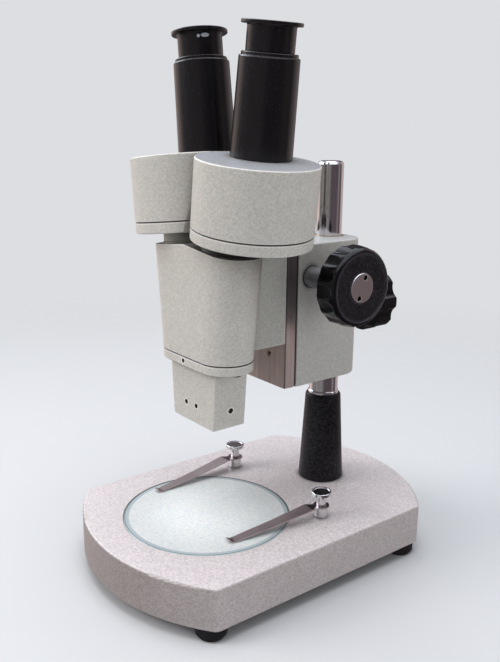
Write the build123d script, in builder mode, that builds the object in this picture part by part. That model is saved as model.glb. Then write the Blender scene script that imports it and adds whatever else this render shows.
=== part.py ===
from build123d import *
import os
from math import acos, cos, pi, radians, sin, sqrt, tan

# A stereo microscope: a cast base with a stage plate, a pillar carrying a rack-and-pinion
# focus block, and a head with two tilted channels whose prism housings swing together.
# The frame: origin at the centre of the stage plate's top face, +X to the user's right,
# +Y towards the pillar at the rear, +Z up. The two optical axes cross just above the origin.
# Names ending in Z, Z0 or Z1 are heights above the table the feet stand on; names with
# H, H0 or H1 are levels measured along a tilted axis. _R is a radius, _T a thickness.

os.makedirs("parts", exist_ok=True)

# ---------------------------------------------------------------------------
# Driving dimensions, millimetres
# ---------------------------------------------------------------------------
RUN = 0.06                  # radial clearance of every running fit

STAGE_TOP = 30.6            # stage plate above the table
STAGE_R = 47.5              # standard 95 mm plate
STAGE_T = 5.0

BASE_HALF = 68.0            # half width
BASE_SIDE_Y0 = -40.6        # straight sides run from here ...
BASE_SIDE_Y1 = 104.3        # ... to here
BASE_FRONT = -66.1          # crown of the bowed front
BASE_REAR = 134.1           # crown of the bowed rear
BASE_Z0 = 7.0               # underside of the casting
BASE_WALL = 6.0
BASE_SKIN = 7.0             # top of the casting, over the hollow
RIB_T = 4.0

FEET = [(-58.2, -37.8), (58.2, -37.8), (-59.4, 98.4), (59.4, 98.4)]
FOOT_R = 8.2
FOOT_SEAT_R = 4.2           # well for the screw head
FOOT_SEAT_Z = 3.2
FOOT_HEAD_Z = 0.8           # underside of the screw head
FOOT_SCREW_R = 2.0

PILLAR_Y = 88.3
PILLAR_R = 7.5
PILLAR_Z0 = 15.0
PILLAR_TOP = 226.6

POST_RIGHT = (42.3, 49.8)   # stage clip posts
POST_LEFT = (-41.0, 50.8)
POST_R = 2.0                # below the stage
POST_NECK_R = 2.7           # above it
POST_HEAD_Z = STAGE_TOP + 13.6
POST_HEAD_T = 1.9

ARM_HALF = 21.5             # focus block half width
ARM_Y0 = 46.5               # its front face
ARM_Y1 = 99.0               # its rear face
ARM_Z0 = 102.8
ARM_Z1 = 183.7
ARM_BORE_R = 8.6
CLAMP_Z = 141.0             # rear clamp knob axis
CLAMP_R = 3.0               # clamp stud

SHAFT_Y = 56.0              # focus shaft axis
SHAFT_Z = 165.5
SHAFT_R = 3.0
BUSHING_R = 4.2             # spigot in the focus block
KNOB_R = 21.5
KNOB_FACE = 60.5

MODULE = 0.8                # rack and pinion
PINION_TEETH = 18
PINION_R = MODULE * PINION_TEETH / 2
PINION_W = 7.0
TOOTH_TIP = 0.76            # beyond the pitch line
TOOTH_ROOT = 1.0            # below it

SLIDE_Y0 = 38.05            # focus slide plate, front face
SLIDE_Y1 = 45.6             # and rear face
SLIDE_Z0 = 103.3
SLIDE_Z1 = 183.0
FLANK = tan(radians(30))    # dovetail flank, 60 degrees to the face
DOVE_HALF = 9.0             # male dovetail half width at the plate
DOVE_Y = 51.5               # its rear face
GIB_T = 1.5

TILT = 6.66                 # each optical axis leans this far from vertical
AXIS_Z = 31.0               # both axes pass through this height on the centre line
DRUM_R = 31.3               # prism housing
DRUM_C = (7.97, 9.79)       # its centre from the optical axis (outwards, rearwards)
TUBE_C = (0.1, 17.8)        # eyepiece axis from the objective axis
TUBE_SEAT_R = 12.0          # spigot of the tube in the prism housing
ROOF_H = 154.65             # roof of the oval objective housing
COVER_H0 = 160.3
COVER_H1 = 166.3
PLATE_H0 = 183.0            # prism plate
PLATE_H1 = 184.5
DRUM_H1 = 200.9
TUBE_H1 = 250.5
NECK_R = 9.6                # neck where it turns in the roof
NECK_TOP_R = 12.2           # neck in the open between roof and cover
NECK_BORE_R = 8.2
IPD_OUT = 20.0              # prism housing swing, outwards and inwards, degrees
IPD_IN = 12.0

# Screw positions: (x, height), except GIB_SCREWS and LOCK_SCREW_SIDE, which are (y, height)
GIB_SCREWS = [(49.0, 116.0), (49.0, 143.2), (49.0, 176.0)]
SLIDE_SCREWS = [(-6.6, 140.0), (6.6, 140.0), (-6.6, 174.0), (6.6, 174.0)]
STOP_SCREWS = [(7.6, 121.3), (-7.6, 121.3)]
BRACKET_SCREWS = [(-13.0, 138.0), (13.0, 138.0), (-13.0, 166.0), (13.0, 166.0)]
LOCK_SCREWS_FRONT = [(-6.4, 98.2), (3.2, 98.2)]
LOCK_SCREW_SIDE = (2.2, 98.0)
RING_SET_SCREW = (-1.0, 124.0)

# ---------------------------------------------------------------------------
# Working planes and axes
# ---------------------------------------------------------------------------
TABLE = Plane((0, 0, -STAGE_TOP))
SIDE = Plane((0, 0, -STAGE_TOP), x_dir=(0, 1, 0), z_dir=(1, 0, 0))      # Y across, Z up
FRONT = Plane((0, 0, -STAGE_TOP), x_dir=(1, 0, 0), z_dir=(0, -1, 0))    # X across, Z up

PILLAR_SIDE = Plane((0, PILLAR_Y, -STAGE_TOP), x_dir=(1, 0, 0), z_dir=(0, -1, 0))
PILLAR_AXIS = Axis((0, PILLAR_Y, 0), (0, 0, 1))

SHAFT_ORIGIN = (0, SHAFT_Y, SHAFT_Z - STAGE_TOP)
SHAFT_AXIS = Axis(SHAFT_ORIGIN, (1, 0, 0))
SHAFT_SIDE = Plane(SHAFT_ORIGIN, x_dir=(1, 0, 0), z_dir=(0, -1, 0))     # holds the axis
SHAFT_END = Plane(SHAFT_ORIGIN, x_dir=(0, 1, 0), z_dir=(1, 0, 0))       # square to it

CLAMP_ORIGIN = (0, 0, CLAMP_Z - STAGE_TOP)
CLAMP_AXIS = Axis(CLAMP_ORIGIN, (0, 1, 0))
CLAMP_SIDE = Plane(CLAMP_ORIGIN, x_dir=(0, 1, 0), z_dir=(1, 0, 0))      # holds the axis
CLAMP_END = Plane(CLAMP_ORIGIN, x_dir=(-1, 0, 0), z_dir=(0, 1, 0))      # offset = Y

TILT_SIN, TILT_COS = sin(radians(TILT)), cos(radians(TILT))
TILT_TAN = tan(radians(TILT))
AXES_CROSS = (0, 0, AXIS_Z - STAGE_TOP)
OUTWARDS = (TILT_COS, 0, -TILT_SIN)         # square to the right channel's axis
UP_AXIS = (TILT_SIN, 0, TILT_COS)
# square to each channel, offset = H; local x points to the user's right in both
CHANNEL = Plane(AXES_CROSS, x_dir=OUTWARDS, z_dir=UP_AXIS)
CHANNEL_LEFT = Plane(AXES_CROSS, x_dir=(TILT_COS, 0, TILT_SIN), z_dir=(-TILT_SIN, 0, TILT_COS))
CHANNEL_SIDE = Plane(AXES_CROSS, x_dir=OUTWARDS, z_dir=(0, -1, 0))      # outwards, H up
CHANNEL_AXIS = Axis(AXES_CROSS, UP_AXIS)
TUBE_ORIGIN = (
    TILT_COS * TUBE_C[0],
    TUBE_C[1],
    AXIS_Z - STAGE_TOP - TILT_SIN * TUBE_C[0],
)
TUBE_SIDE = Plane(TUBE_ORIGIN, x_dir=OUTWARDS, z_dir=(0, -1, 0))
TUBE_AXIS = Axis(TUBE_ORIGIN, UP_AXIS)


# ---------------------------------------------------------------------------
# Helpers
# The draw_ functions only add curves or shapes to the sketch or line block around the call.
# ---------------------------------------------------------------------------
def front_at(y):
    """The forward-facing plane at a given Y."""
    return FRONT.offset(-y)


def save(piece, name):
    """Label a finished piece and write its STEP file."""
    piece.part.label = name
    export_step(piece.part, f"parts/{name}.step")


def save_pair(right, name):
    """Write a right-hand piece and its mirror image."""
    save(right, f"{name}_right")
    with BuildPart() as left:
        mirror(right.part, about=Plane.YZ)
    save(left, f"{name}_left")


def revolved(plane, axis, profile, both_sides=False):
    """A turned piece from its closed half profile, with its mirror image added if asked."""
    with BuildPart() as piece:
        with BuildSketch(plane):
            with BuildLine():
                Polyline(*profile, close=True)
            make_face()
        revolve(axis=axis)
        if both_sides:
            mirror(piece.part, about=Plane.YZ)
    return piece


def draw_lens(flat, crown, bulge_r, rim):
    """Half section of a plano-convex lens: flat and crown levels, bulge and rim radii."""
    bulge = 1 if crown > flat else -1

    def level(reach):
        return crown - bulge * (bulge_r - sqrt(bulge_r * bulge_r - reach * reach))

    Line((0, flat), (rim, flat))
    Line((rim, flat), (rim, level(rim)))
    ThreePointArc((rim, level(rim)), (rim / 2, level(rim / 2)), (0, crown))
    Line((0, crown), (0, flat))


def gear_teeth(teeth, pitch_r, addendum, dedendum, backlash, first, last, phase):
    """Flank points of involute teeth first..last, counter-clockwise, tooth 0 on phase."""
    pressure = radians(20.0)
    base_r = pitch_r * cos(pressure)
    tip_r, root_r = pitch_r + addendum, pitch_r - dedendum
    start_r = max(base_r, root_r)
    involute_at_pitch = tan(pressure) - pressure
    half = pi / (2 * teeth) - backlash / (2 * pitch_r)
    flank = []              # (radius, half tooth angle), root to tip
    for i in range(5):
        r = start_r + (tip_r - start_r) * i / 4
        angle = acos(min(1.0, base_r / r))
        flank.append((r, half + involute_at_pitch - (tan(angle) - angle)))
    if root_r < base_r:
        flank.insert(0, (root_r, flank[0][1]))
    points = []
    for k in range(first, last + 1):
        centre = phase + 2 * pi * k / teeth
        points += [(r * cos(centre - turn), r * sin(centre - turn)) for r, turn in flank]
        points += [(r * cos(centre + turn), r * sin(centre + turn)) for r, turn in reversed(flank)]
    return points


# ---------------------------------------------------------------------------
# Stand: base, feet, stage plate
# ---------------------------------------------------------------------------
def draw_base_outline():
    """Straight sides between a bowed front and a bowed rear."""
    Line((BASE_HALF, BASE_SIDE_Y0), (BASE_HALF, BASE_SIDE_Y1))
    ThreePointArc((BASE_HALF, BASE_SIDE_Y1), (0, BASE_REAR), (-BASE_HALF, BASE_SIDE_Y1))
    Line((-BASE_HALF, BASE_SIDE_Y1), (-BASE_HALF, BASE_SIDE_Y0))
    ThreePointArc((-BASE_HALF, BASE_SIDE_Y0), (0, BASE_FRONT), (BASE_HALF, BASE_SIDE_Y0))


with BuildPart() as base_casting:
    with BuildSketch(TABLE.offset(BASE_Z0)) as base_outline:
        with BuildLine():
            draw_base_outline()
        make_face()
        fillet(base_outline.vertices(), 5.0)
    extrude(amount=STAGE_TOP - BASE_Z0)
    fillet(base_casting.faces().sort_by(Axis.Z)[-1].edges(), 1.2)
    fillet(base_casting.faces().sort_by(Axis.Z)[0].edges(), 0.8)
    # hollow underside, leaving the stage ring, pillar boss, foot and post bosses and ribs
    with BuildSketch(TABLE.offset(BASE_Z0)):
        with BuildLine():
            draw_base_outline()
        make_face()
        offset(amount=-BASE_WALL, kind=Kind.INTERSECTION, mode=Mode.REPLACE)
        Circle(STAGE_R + 5.5, mode=Mode.SUBTRACT)
        with Locations((0, PILLAR_Y)):
            Circle(18.0, mode=Mode.SUBTRACT)
        with Locations(*FEET):
            Circle(10.0, mode=Mode.SUBTRACT)
        with Locations(POST_RIGHT, POST_LEFT):
            Circle(6.5, mode=Mode.SUBTRACT)
        with Locations((0, PILLAR_Y)):
            Rectangle(140, RIB_T, mode=Mode.SUBTRACT)
        with Locations((0, 112)):
            Rectangle(RIB_T, 60, mode=Mode.SUBTRACT)
        with Locations((0, 60)):
            Rectangle(RIB_T, 40, mode=Mode.SUBTRACT)
    extrude(amount=STAGE_TOP - BASE_SKIN - BASE_Z0, mode=Mode.SUBTRACT)
    # stage recess with a ledge, open below
    with BuildSketch(TABLE.offset(STAGE_TOP)):
        Circle(STAGE_R + 0.12)
    extrude(amount=-(STAGE_T + 0.02), mode=Mode.SUBTRACT)
    with BuildSketch(TABLE.offset(STAGE_TOP)):
        Circle(STAGE_R - 4.0)
    extrude(amount=-30, mode=Mode.SUBTRACT)
    # pillar seat, bolt hole and its counterbore: (height, radius, depth upwards)
    for z, radius, depth in (
        (PILLAR_Z0, PILLAR_R + 0.03, 20),
        (BASE_Z0, 3.3, 12),
        (BASE_Z0, 10.0, 5.5),
    ):
        with BuildSketch(TABLE.offset(z)):
            with Locations((0, PILLAR_Y)):
                Circle(radius)
        extrude(amount=depth, mode=Mode.SUBTRACT)
    # foot screw holes and clip post holes
    with BuildSketch(TABLE.offset(BASE_Z0)):
        with Locations(*FEET):
            Circle(FOOT_SCREW_R + 0.05)
    extrude(amount=11, mode=Mode.SUBTRACT)
    with BuildSketch(TABLE.offset(STAGE_TOP)):
        with Locations(POST_RIGHT, POST_LEFT):
            Circle(POST_R + 0.05)
    extrude(amount=-12, mode=Mode.SUBTRACT)
save(base_casting, "base_casting")

# a wide ring below, stepping in to a narrower hole above the screw head
with BuildPart() as rubber_feet:
    with BuildSketch(TABLE):
        with Locations(*FEET):
            Circle(FOOT_R)
            Circle(FOOT_SEAT_R, mode=Mode.SUBTRACT)
    extrude(amount=BASE_Z0)
    chamfer(rubber_feet.edges().group_by(Axis.Z)[0].filter_by(lambda e: e.radius > 5), 2.0, 1.5)
    with BuildSketch(TABLE.offset(FOOT_SEAT_Z)):
        with Locations(*FEET):
            Circle(FOOT_SEAT_R)
            Circle(FOOT_SCREW_R + 0.1, mode=Mode.SUBTRACT)
    extrude(amount=BASE_Z0 - FOOT_SEAT_Z)
save(rubber_feet, "rubber_feet")

with BuildPart() as foot_screws:
    with BuildSketch(TABLE.offset(FOOT_HEAD_Z)):
        with Locations(*FEET):
            Circle(3.7)
    extrude(amount=2.36)
    fillet(foot_screws.edges().group_by(Axis.Z)[0], 0.7)
    with BuildSketch(TABLE.offset(3.1)):
        with Locations(*FEET):
            Circle(FOOT_SCREW_R)
    extrude(amount=13)
    # driver slot
    with BuildSketch(TABLE.offset(FOOT_HEAD_Z)):
        with Locations(*FEET):
            Rectangle(8, 0.9)
    extrude(amount=0.9, mode=Mode.SUBTRACT)
save(foot_screws, "foot_screws")

with BuildPart() as stage_plate:
    with BuildSketch(TABLE.offset(STAGE_TOP - STAGE_T)):
        Circle(STAGE_R)
    extrude(amount=STAGE_T)
    chamfer(stage_plate.edges().sort_by(Axis.Z)[-1], 0.5)
    chamfer(stage_plate.edges().sort_by(Axis.Z)[0], 0.5)
save(stage_plate, "stage_plate")

# ---------------------------------------------------------------------------
# Stand: pillar, bolt, washer, sleeve, collar. Profiles are (radius, height).
# ---------------------------------------------------------------------------
BOLT_HOLE_R = 3.02          # blind hole up the pillar
BOLT_HOLE_Z1 = 33
SLEEVE_Z0 = STAGE_TOP + 0.02
SLEEVE_Z1 = 85.9
COLLAR_Z0 = SLEEVE_Z1 + 0.06
COLLAR_Z1 = 102.7

pillar = revolved(PILLAR_SIDE, PILLAR_AXIS, [
    (0, BOLT_HOLE_Z1), (BOLT_HOLE_R, BOLT_HOLE_Z1),
    (BOLT_HOLE_R, PILLAR_Z0), (PILLAR_R, PILLAR_Z0),
    (PILLAR_R, PILLAR_TOP - 1.8), (PILLAR_R - 0.6, PILLAR_TOP - 0.6),
    (PILLAR_R - 2.0, PILLAR_TOP), (0, PILLAR_TOP),
])
save(pillar, "pillar")

with BuildPart() as pillar_bolt:
    with BuildSketch(TABLE.offset(7.2)):
        with Locations((0, PILLAR_Y)):
            RegularPolygon(5.7, 6)
    extrude(amount=3.7)
    with BuildSketch(TABLE.offset(10.0)):
        with Locations((0, PILLAR_Y)):
            Circle(BOLT_HOLE_R - 0.04)
    extrude(amount=21)
save(pillar_bolt, "pillar_bolt")

with BuildPart() as pillar_washer:
    with BuildSketch(TABLE.offset(10.92)):
        with Locations((0, PILLAR_Y)):
            Circle(9.0)
            Circle(3.2, mode=Mode.SUBTRACT)
    extrude(amount=1.56)
save(pillar_washer, "pillar_washer")

# tapers upwards from the base
pillar_sleeve = revolved(PILLAR_SIDE, PILLAR_AXIS, [
    (PILLAR_R + 0.05, SLEEVE_Z0), (13.4, SLEEVE_Z0), (13.88, STAGE_TOP + 0.5),
    (13.86, STAGE_TOP + 1.4), (10.9, 84.6), (10.6, 85.4), (9.9, SLEEVE_Z1),
    (PILLAR_R + 0.05, SLEEVE_Z1),
])
save(pillar_sleeve, "pillar_sleeve")

stop_collar = revolved(PILLAR_SIDE, PILLAR_AXIS, [
    (PILLAR_R + RUN, COLLAR_Z0), (9.0, COLLAR_Z0), (9.4, 86.3), (9.4, 87.6), (9.0, 88.0),
    (8.8, 88.3), (8.8, 102.2), (8.4, COLLAR_Z1), (PILLAR_R + RUN, COLLAR_Z1),
])
save(stop_collar, "stop_collar")

# ---------------------------------------------------------------------------
# Stage clips
# ---------------------------------------------------------------------------
with BuildPart() as clip_bosses:
    with BuildSketch(TABLE.offset(STAGE_TOP)):
        with Locations(POST_RIGHT, POST_LEFT):
            Circle(3.8)
            Circle(POST_NECK_R + 0.05, mode=Mode.SUBTRACT)
    extrude(amount=6.2)
    for end in (-1, 0):
        fillet(clip_bosses.edges().group_by(Axis.Z)[end].filter_by(lambda e: e.radius > 3), 0.4)
save(clip_bosses, "clip_bosses")

with BuildPart() as clip_posts:
    # stem in the base, neck, head: (bottom height, radius, length)
    for z, radius, length in (
        (STAGE_TOP - 11, POST_R, 11.1),
        (STAGE_TOP + 0.05, POST_NECK_R, 13.8),
        (POST_HEAD_Z, 5.75, POST_HEAD_T),
    ):
        with BuildSketch(TABLE.offset(z)):
            with Locations(POST_RIGHT, POST_LEFT):
                Circle(radius)
        extrude(amount=length)
    fillet(clip_posts.edges().group_by(Axis.Z)[-1], 0.45)
    # shallow recess in the head
    with BuildSketch(TABLE.offset(POST_HEAD_Z + POST_HEAD_T)):
        with Locations(POST_RIGHT, POST_LEFT):
            Circle(4.7)
    extrude(amount=-0.35, mode=Mode.SUBTRACT)
save(clip_posts, "clip_posts")

LEAF_T = 0.6
# plan of the leaf beyond its eye: (distance from the post, offset across)
LEAF_PLAN = [
    (0, 3.1), (4.6, 3.2), (9.4, 4.1), (58.3, 2.6), (60.6, 2.2),
    (60.6, -2.2), (58.3, -2.6), (9.4, -4.1), (4.6, -3.2), (0, -3.1),
]
# side view: (distance from the post, height above the stage), out below and back above
LEAF_SIDE = [
    (-5, 6.3), (4.6, 6.3), (8.6, 7.0), (9.6, 6.8), (32.0, 3.3), (57.0, 0.12), (58.2, 0.12),
    (60.9, 1.4), (60.7, 1.4 + LEAF_T), (58.0, 0.12 + LEAF_T), (57.0, 0.12 + LEAF_T),
    (32.1, 3.3 + LEAF_T), (9.8, 6.8 + LEAF_T), (8.5, 7.0 + LEAF_T), (4.5, 6.3 + LEAF_T),
    (-5, 6.3 + LEAF_T),
]


def clip_arm(post, lean):
    """A tapered spring leaf: an eye round the post, a raised crest, a long fall to the
    plate and a turned-up tip. It runs forwards, lean degrees towards +X."""
    along_x, along_y = sin(radians(lean)), -cos(radians(lean))
    origin = (post[0], post[1], 0.0)
    plan = Plane(origin, x_dir=(along_x, along_y, 0), z_dir=(0, 0, 1))
    side = Plane(origin, x_dir=(along_x, along_y, 0), z_dir=(along_y, -along_x, 0))
    with BuildPart() as arm:
        with BuildSketch(plan):
            Circle(4.7)
            with BuildLine():
                Polyline(*LEAF_PLAN, close=True)
            make_face()
            Circle(2.85, mode=Mode.SUBTRACT)
        extrude(amount=12)
        with BuildSketch(side):
            with BuildLine():
                Polyline(*LEAF_SIDE, close=True)
            make_face()
        extrude(amount=8, both=True, mode=Mode.INTERSECT)
    return arm


save(clip_arm(POST_RIGHT, -7.5), "clip_arm_right")
save(clip_arm(POST_LEFT, 1.6), "clip_arm_left")

# ---------------------------------------------------------------------------
# Focus block
# ---------------------------------------------------------------------------
CLAMP_BOSS_R = 9.5
GROOVE_Y = DOVE_Y + 0.1     # bottom of the dovetail groove
SPOT_FACE = 0.4             # depth of the spot faces round the shaft


def dove_half(y):
    """Half width of the male dovetail at a given Y."""
    return DOVE_HALF + FLANK * (y - SLIDE_Y1)


with BuildPart() as arm_housing:
    with BuildSketch(TABLE.offset(ARM_Z0)) as arm_outline:
        with Locations((0, (ARM_Y0 + ARM_Y1) / 2)):
            Rectangle(2 * ARM_HALF, ARM_Y1 - ARM_Y0)
        fillet(arm_outline.vertices().group_by(Axis.Y)[-1], 13.0)
        fillet(arm_outline.vertices().group_by(Axis.Y)[0], 1.0)
    extrude(amount=ARM_Z1 - ARM_Z0)
    fillet(arm_housing.faces().sort_by(Axis.Z)[-1].edges(), 1.0)
    fillet(arm_housing.faces().sort_by(Axis.Z)[0].edges(), 1.0)
    # spot faces for the shaft bushings
    for side in (1, -1):
        with BuildSketch(SHAFT_END.offset(side * (ARM_HALF - SPOT_FACE))):
            Circle(6.3)
        extrude(amount=side * 2, mode=Mode.SUBTRACT)
    # clamp boss at the rear
    with BuildSketch(CLAMP_END.offset(ARM_Y1 - 3)):
        Circle(CLAMP_BOSS_R)
    extrude(amount=13)
    fillet(arm_housing.edges().filter_by(GeomType.CIRCLE).filter_by(
        lambda e: abs(e.radius - CLAMP_BOSS_R) < 0.01 and e.arc_center.Y > ARM_Y1 + 5), 0.8)
    # pillar bore
    with BuildSketch(TABLE.offset(ARM_Z0 - 1)):
        with Locations((0, PILLAR_Y)):
            Circle(ARM_BORE_R)
    extrude(amount=ARM_Z1 - ARM_Z0 + 2, mode=Mode.SUBTRACT)
    # dovetail groove, wider on the left for the gib
    with BuildSketch(TABLE.offset(ARM_Z0 - 1)):
        with BuildLine():
            Polyline(
                (dove_half(ARM_Y0 - 1) + RUN, ARM_Y0 - 1),
                (dove_half(GROOVE_Y) + RUN, GROOVE_Y),
                (-dove_half(GROOVE_Y) - 2 * RUN - GIB_T, GROOVE_Y),
                (-dove_half(ARM_Y0 - 1) - 2 * RUN - GIB_T, ARM_Y0 - 1),
                close=True,
            )
        make_face()
    extrude(amount=ARM_Z1 - ARM_Z0 + 2, mode=Mode.SUBTRACT)
    # pinion chamber and shaft bore
    with BuildSketch(SHAFT_END.offset(-4.3)):
        Circle(PINION_R + 1.4)
    extrude(amount=8.6, mode=Mode.SUBTRACT)
    with BuildSketch(SHAFT_END.offset(-50)):
        Circle(BUSHING_R + 0.05)
    extrude(amount=100, mode=Mode.SUBTRACT)
    # clamp screw bore
    with BuildSketch(CLAMP_END.offset(PILLAR_Y)):
        Circle(CLAMP_R + RUN)
    extrude(amount=30, mode=Mode.SUBTRACT)
    # gib screw holes, left side
    with BuildSketch(SIDE.offset(-ARM_HALF - 1)):
        with Locations(*GIB_SCREWS):
            Circle(1.55)
    extrude(amount=10.2, mode=Mode.SUBTRACT)
save(arm_housing, "arm_housing")

# split sleeve between the focus block and the pillar
with BuildPart() as arm_bushing:
    with BuildSketch(TABLE.offset(ARM_Z0 + 0.3)):
        with Locations((0, PILLAR_Y)):
            Circle(ARM_BORE_R - 0.05)
            Circle(PILLAR_R + RUN, mode=Mode.SUBTRACT)
        with Locations((-8, PILLAR_Y)):
            Rectangle(4, 1.2, mode=Mode.SUBTRACT)
    extrude(amount=ARM_Z1 - ARM_Z0 - 0.2)
save(arm_bushing, "arm_bushing")

with BuildPart() as clamp_pad:
    with BuildSketch(CLAMP_END.offset(PILLAR_Y + 8.7)):
        Circle(2.95)
    extrude(amount=3.2)
    chamfer(clamp_pad.edges(), 0.3)
save(clamp_pad, "clamp_pad")

STUD_Y0, STUD_Y1 = 100.4, 126.0
clamp_stud = revolved(CLAMP_SIDE, CLAMP_AXIS, [
    (STUD_Y0, 0), (STUD_Y0, CLAMP_R - 0.6), (STUD_Y0 + 0.6, CLAMP_R), (STUD_Y1, CLAMP_R),
    (STUD_Y1, 0),
])
save(clamp_stud, "clamp_stud")

# rear clamp knob: eight lobes on a short hub
LOBES_Y0 = 117.5
LOBES_T = 12.5
with BuildPart() as clamp_knob:
    with BuildSketch(CLAMP_END.offset(LOBES_Y0)) as lobes:
        Circle(19.7)
        with PolarLocations(25.2, 8, start_angle=22.5):
            Circle(7.6, mode=Mode.SUBTRACT)
        fillet(lobes.vertices(), 1.4)
    extrude(amount=LOBES_T)
    fillet(clamp_knob.faces().sort_by(Axis.Y)[-1].edges(), 1.2)
    fillet(clamp_knob.faces().sort_by(Axis.Y)[0].edges(), 1.0)
    # hub
    with BuildSketch(CLAMP_END.offset(109.3)):
        Circle(9.0)
    extrude(amount=10)
    fillet(clamp_knob.faces().sort_by(Axis.Y)[0].edges(), 0.6)
    # shallow recess in the rear face
    with BuildSketch(CLAMP_END.offset(LOBES_Y0 + LOBES_T)):
        Circle(11.0)
    extrude(amount=-0.7, mode=Mode.SUBTRACT)
    # stud hole
    with BuildSketch(CLAMP_END.offset(109.0)):
        Circle(CLAMP_R + 0.03)
    extrude(amount=17.05, mode=Mode.SUBTRACT)
save(clamp_knob, "clamp_knob")

GIB_Y0, GIB_Y1 = 46.7, 51.4
with BuildPart() as gib_strip:
    with BuildSketch(TABLE.offset(ARM_Z0 + 1)):
        with BuildLine():
            Polyline(
                (-dove_half(GIB_Y0) - RUN, GIB_Y0),
                (-dove_half(GIB_Y1) - RUN, GIB_Y1),
                (-dove_half(GIB_Y1) - RUN - GIB_T, GIB_Y1),
                (-dove_half(GIB_Y0) - RUN - GIB_T, GIB_Y0),
                close=True,
            )
        make_face()
    extrude(amount=ARM_Z1 - ARM_Z0 - 2)
save(gib_strip, "gib_strip")

with BuildPart() as gib_screws:
    with BuildSketch(SIDE.offset(-ARM_HALF + 0.2)):
        with Locations(*GIB_SCREWS):
            Circle(1.5)
    extrude(amount=7.2)
    chamfer(gib_screws.edges().group_by(Axis.X)[-1], 0.5)
    # hexagon socket
    with BuildSketch(SIDE.offset(-ARM_HALF + 0.2)):
        with Locations(*GIB_SCREWS):
            RegularPolygon(0.85, 6)
    extrude(amount=1.6, mode=Mode.SUBTRACT)
save(gib_screws, "gib_screws")

# ---------------------------------------------------------------------------
# Focus shaft, pinion and knobs. Profiles are (X, radius).
# ---------------------------------------------------------------------------
# flanged bushings: a spigot in the housing, a long plain nose outside
BUSHING_X0, BUSHING_X1 = 12.0, 43.9
BUSHING_NOSE_R = 5.8
BUSHING_STEP = ARM_HALF - SPOT_FACE + 0.03      # X of the shoulder
shaft_bushings = revolved(SHAFT_SIDE, SHAFT_AXIS, [
    (BUSHING_X0, SHAFT_R + RUN), (BUSHING_X0, BUSHING_R), (BUSHING_STEP, BUSHING_R),
    (BUSHING_STEP, BUSHING_NOSE_R - 0.5), (ARM_HALF + 0.2, BUSHING_NOSE_R),
    (BUSHING_X1 - 0.5, BUSHING_NOSE_R), (BUSHING_X1, BUSHING_NOSE_R - 0.5),
    (BUSHING_X1, SHAFT_R + RUN),
], both_sides=True)
save(shaft_bushings, "shaft_bushings")

SHAFT_HALF = 58.3
focus_shaft = revolved(SHAFT_SIDE, SHAFT_AXIS, [
    (-SHAFT_HALF, 0), (-SHAFT_HALF, SHAFT_R - 0.4), (-SHAFT_HALF + 0.4, SHAFT_R),
    (SHAFT_HALF - 0.4, SHAFT_R), (SHAFT_HALF, SHAFT_R - 0.4), (SHAFT_HALF, 0),
])
save(focus_shaft, "focus_shaft")

# one tooth points straight forward
with BuildPart() as pinion:
    with BuildSketch(SHAFT_END.offset(-PINION_W / 2)):
        with BuildLine():
            Polyline(
                *gear_teeth(
                    PINION_TEETH, PINION_R, TOOTH_TIP, TOOTH_ROOT,
                    backlash=0.07, first=0, last=PINION_TEETH - 1, phase=pi,
                ),
                close=True,
            )
        make_face()
        Circle(SHAFT_R + 0.02, mode=Mode.SUBTRACT)
    extrude(amount=PINION_W)
save(pinion, "pinion")

# scalloped knob: sixteen shallow flutes cut into the rim
KNOB_PROFILE = [
    (44.2, SHAFT_R + 0.03), (44.2, 7.4), (48.2, 7.4), (48.2, 20.2), (48.5, 21.0),
    (49.3, KNOB_R), (53.5, KNOB_R), (57.6, 21.0), (58.8, 20.6), (59.7, 20.0), (60.2, 19.4),
    (60.45, 18.9), (KNOB_FACE, 18.5), (KNOB_FACE, 18.2), (60.25, 18.0), (59.8, 18.0),
    (59.8, 17.6), (60.1, 17.5), (60.1, 8.2), (58.9, 8.2), (58.9, SHAFT_R + 0.03),
]
with BuildPart() as knob:
    with BuildSketch(SHAFT_SIDE):
        with BuildLine():
            Polyline(*KNOB_PROFILE, close=True)
        make_face()
    revolve(axis=SHAFT_AXIS)
    with BuildSketch(SHAFT_END.offset(46)):
        with PolarLocations(31.5, 16, start_angle=1.3):
            Circle(11.0)
    extrude(amount=14.0, mode=Mode.SUBTRACT)
save_pair(knob, "knob")

# discs in the knob faces, each with two small holes
CAP_X0 = 58.95
CAP_T = 1.75
CAP_HOLE = (5.6 * sin(radians(20)), 5.6 * cos(radians(20)))
with BuildPart() as knob_caps:
    with BuildSketch(SHAFT_END.offset(CAP_X0)):
        Circle(7.9)
    extrude(amount=CAP_T)
    chamfer(knob_caps.edges().sort_by(Axis.X)[-1], 0.3)
    with BuildSketch(SHAFT_END.offset(CAP_X0 + CAP_T)):
        with Locations(CAP_HOLE, (-CAP_HOLE[0], -CAP_HOLE[1])):
            Circle(1.3)
    extrude(amount=-1.2, mode=Mode.SUBTRACT)
    mirror(knob_caps.part, about=Plane.YZ)
save(knob_caps, "knob_caps")

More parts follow.
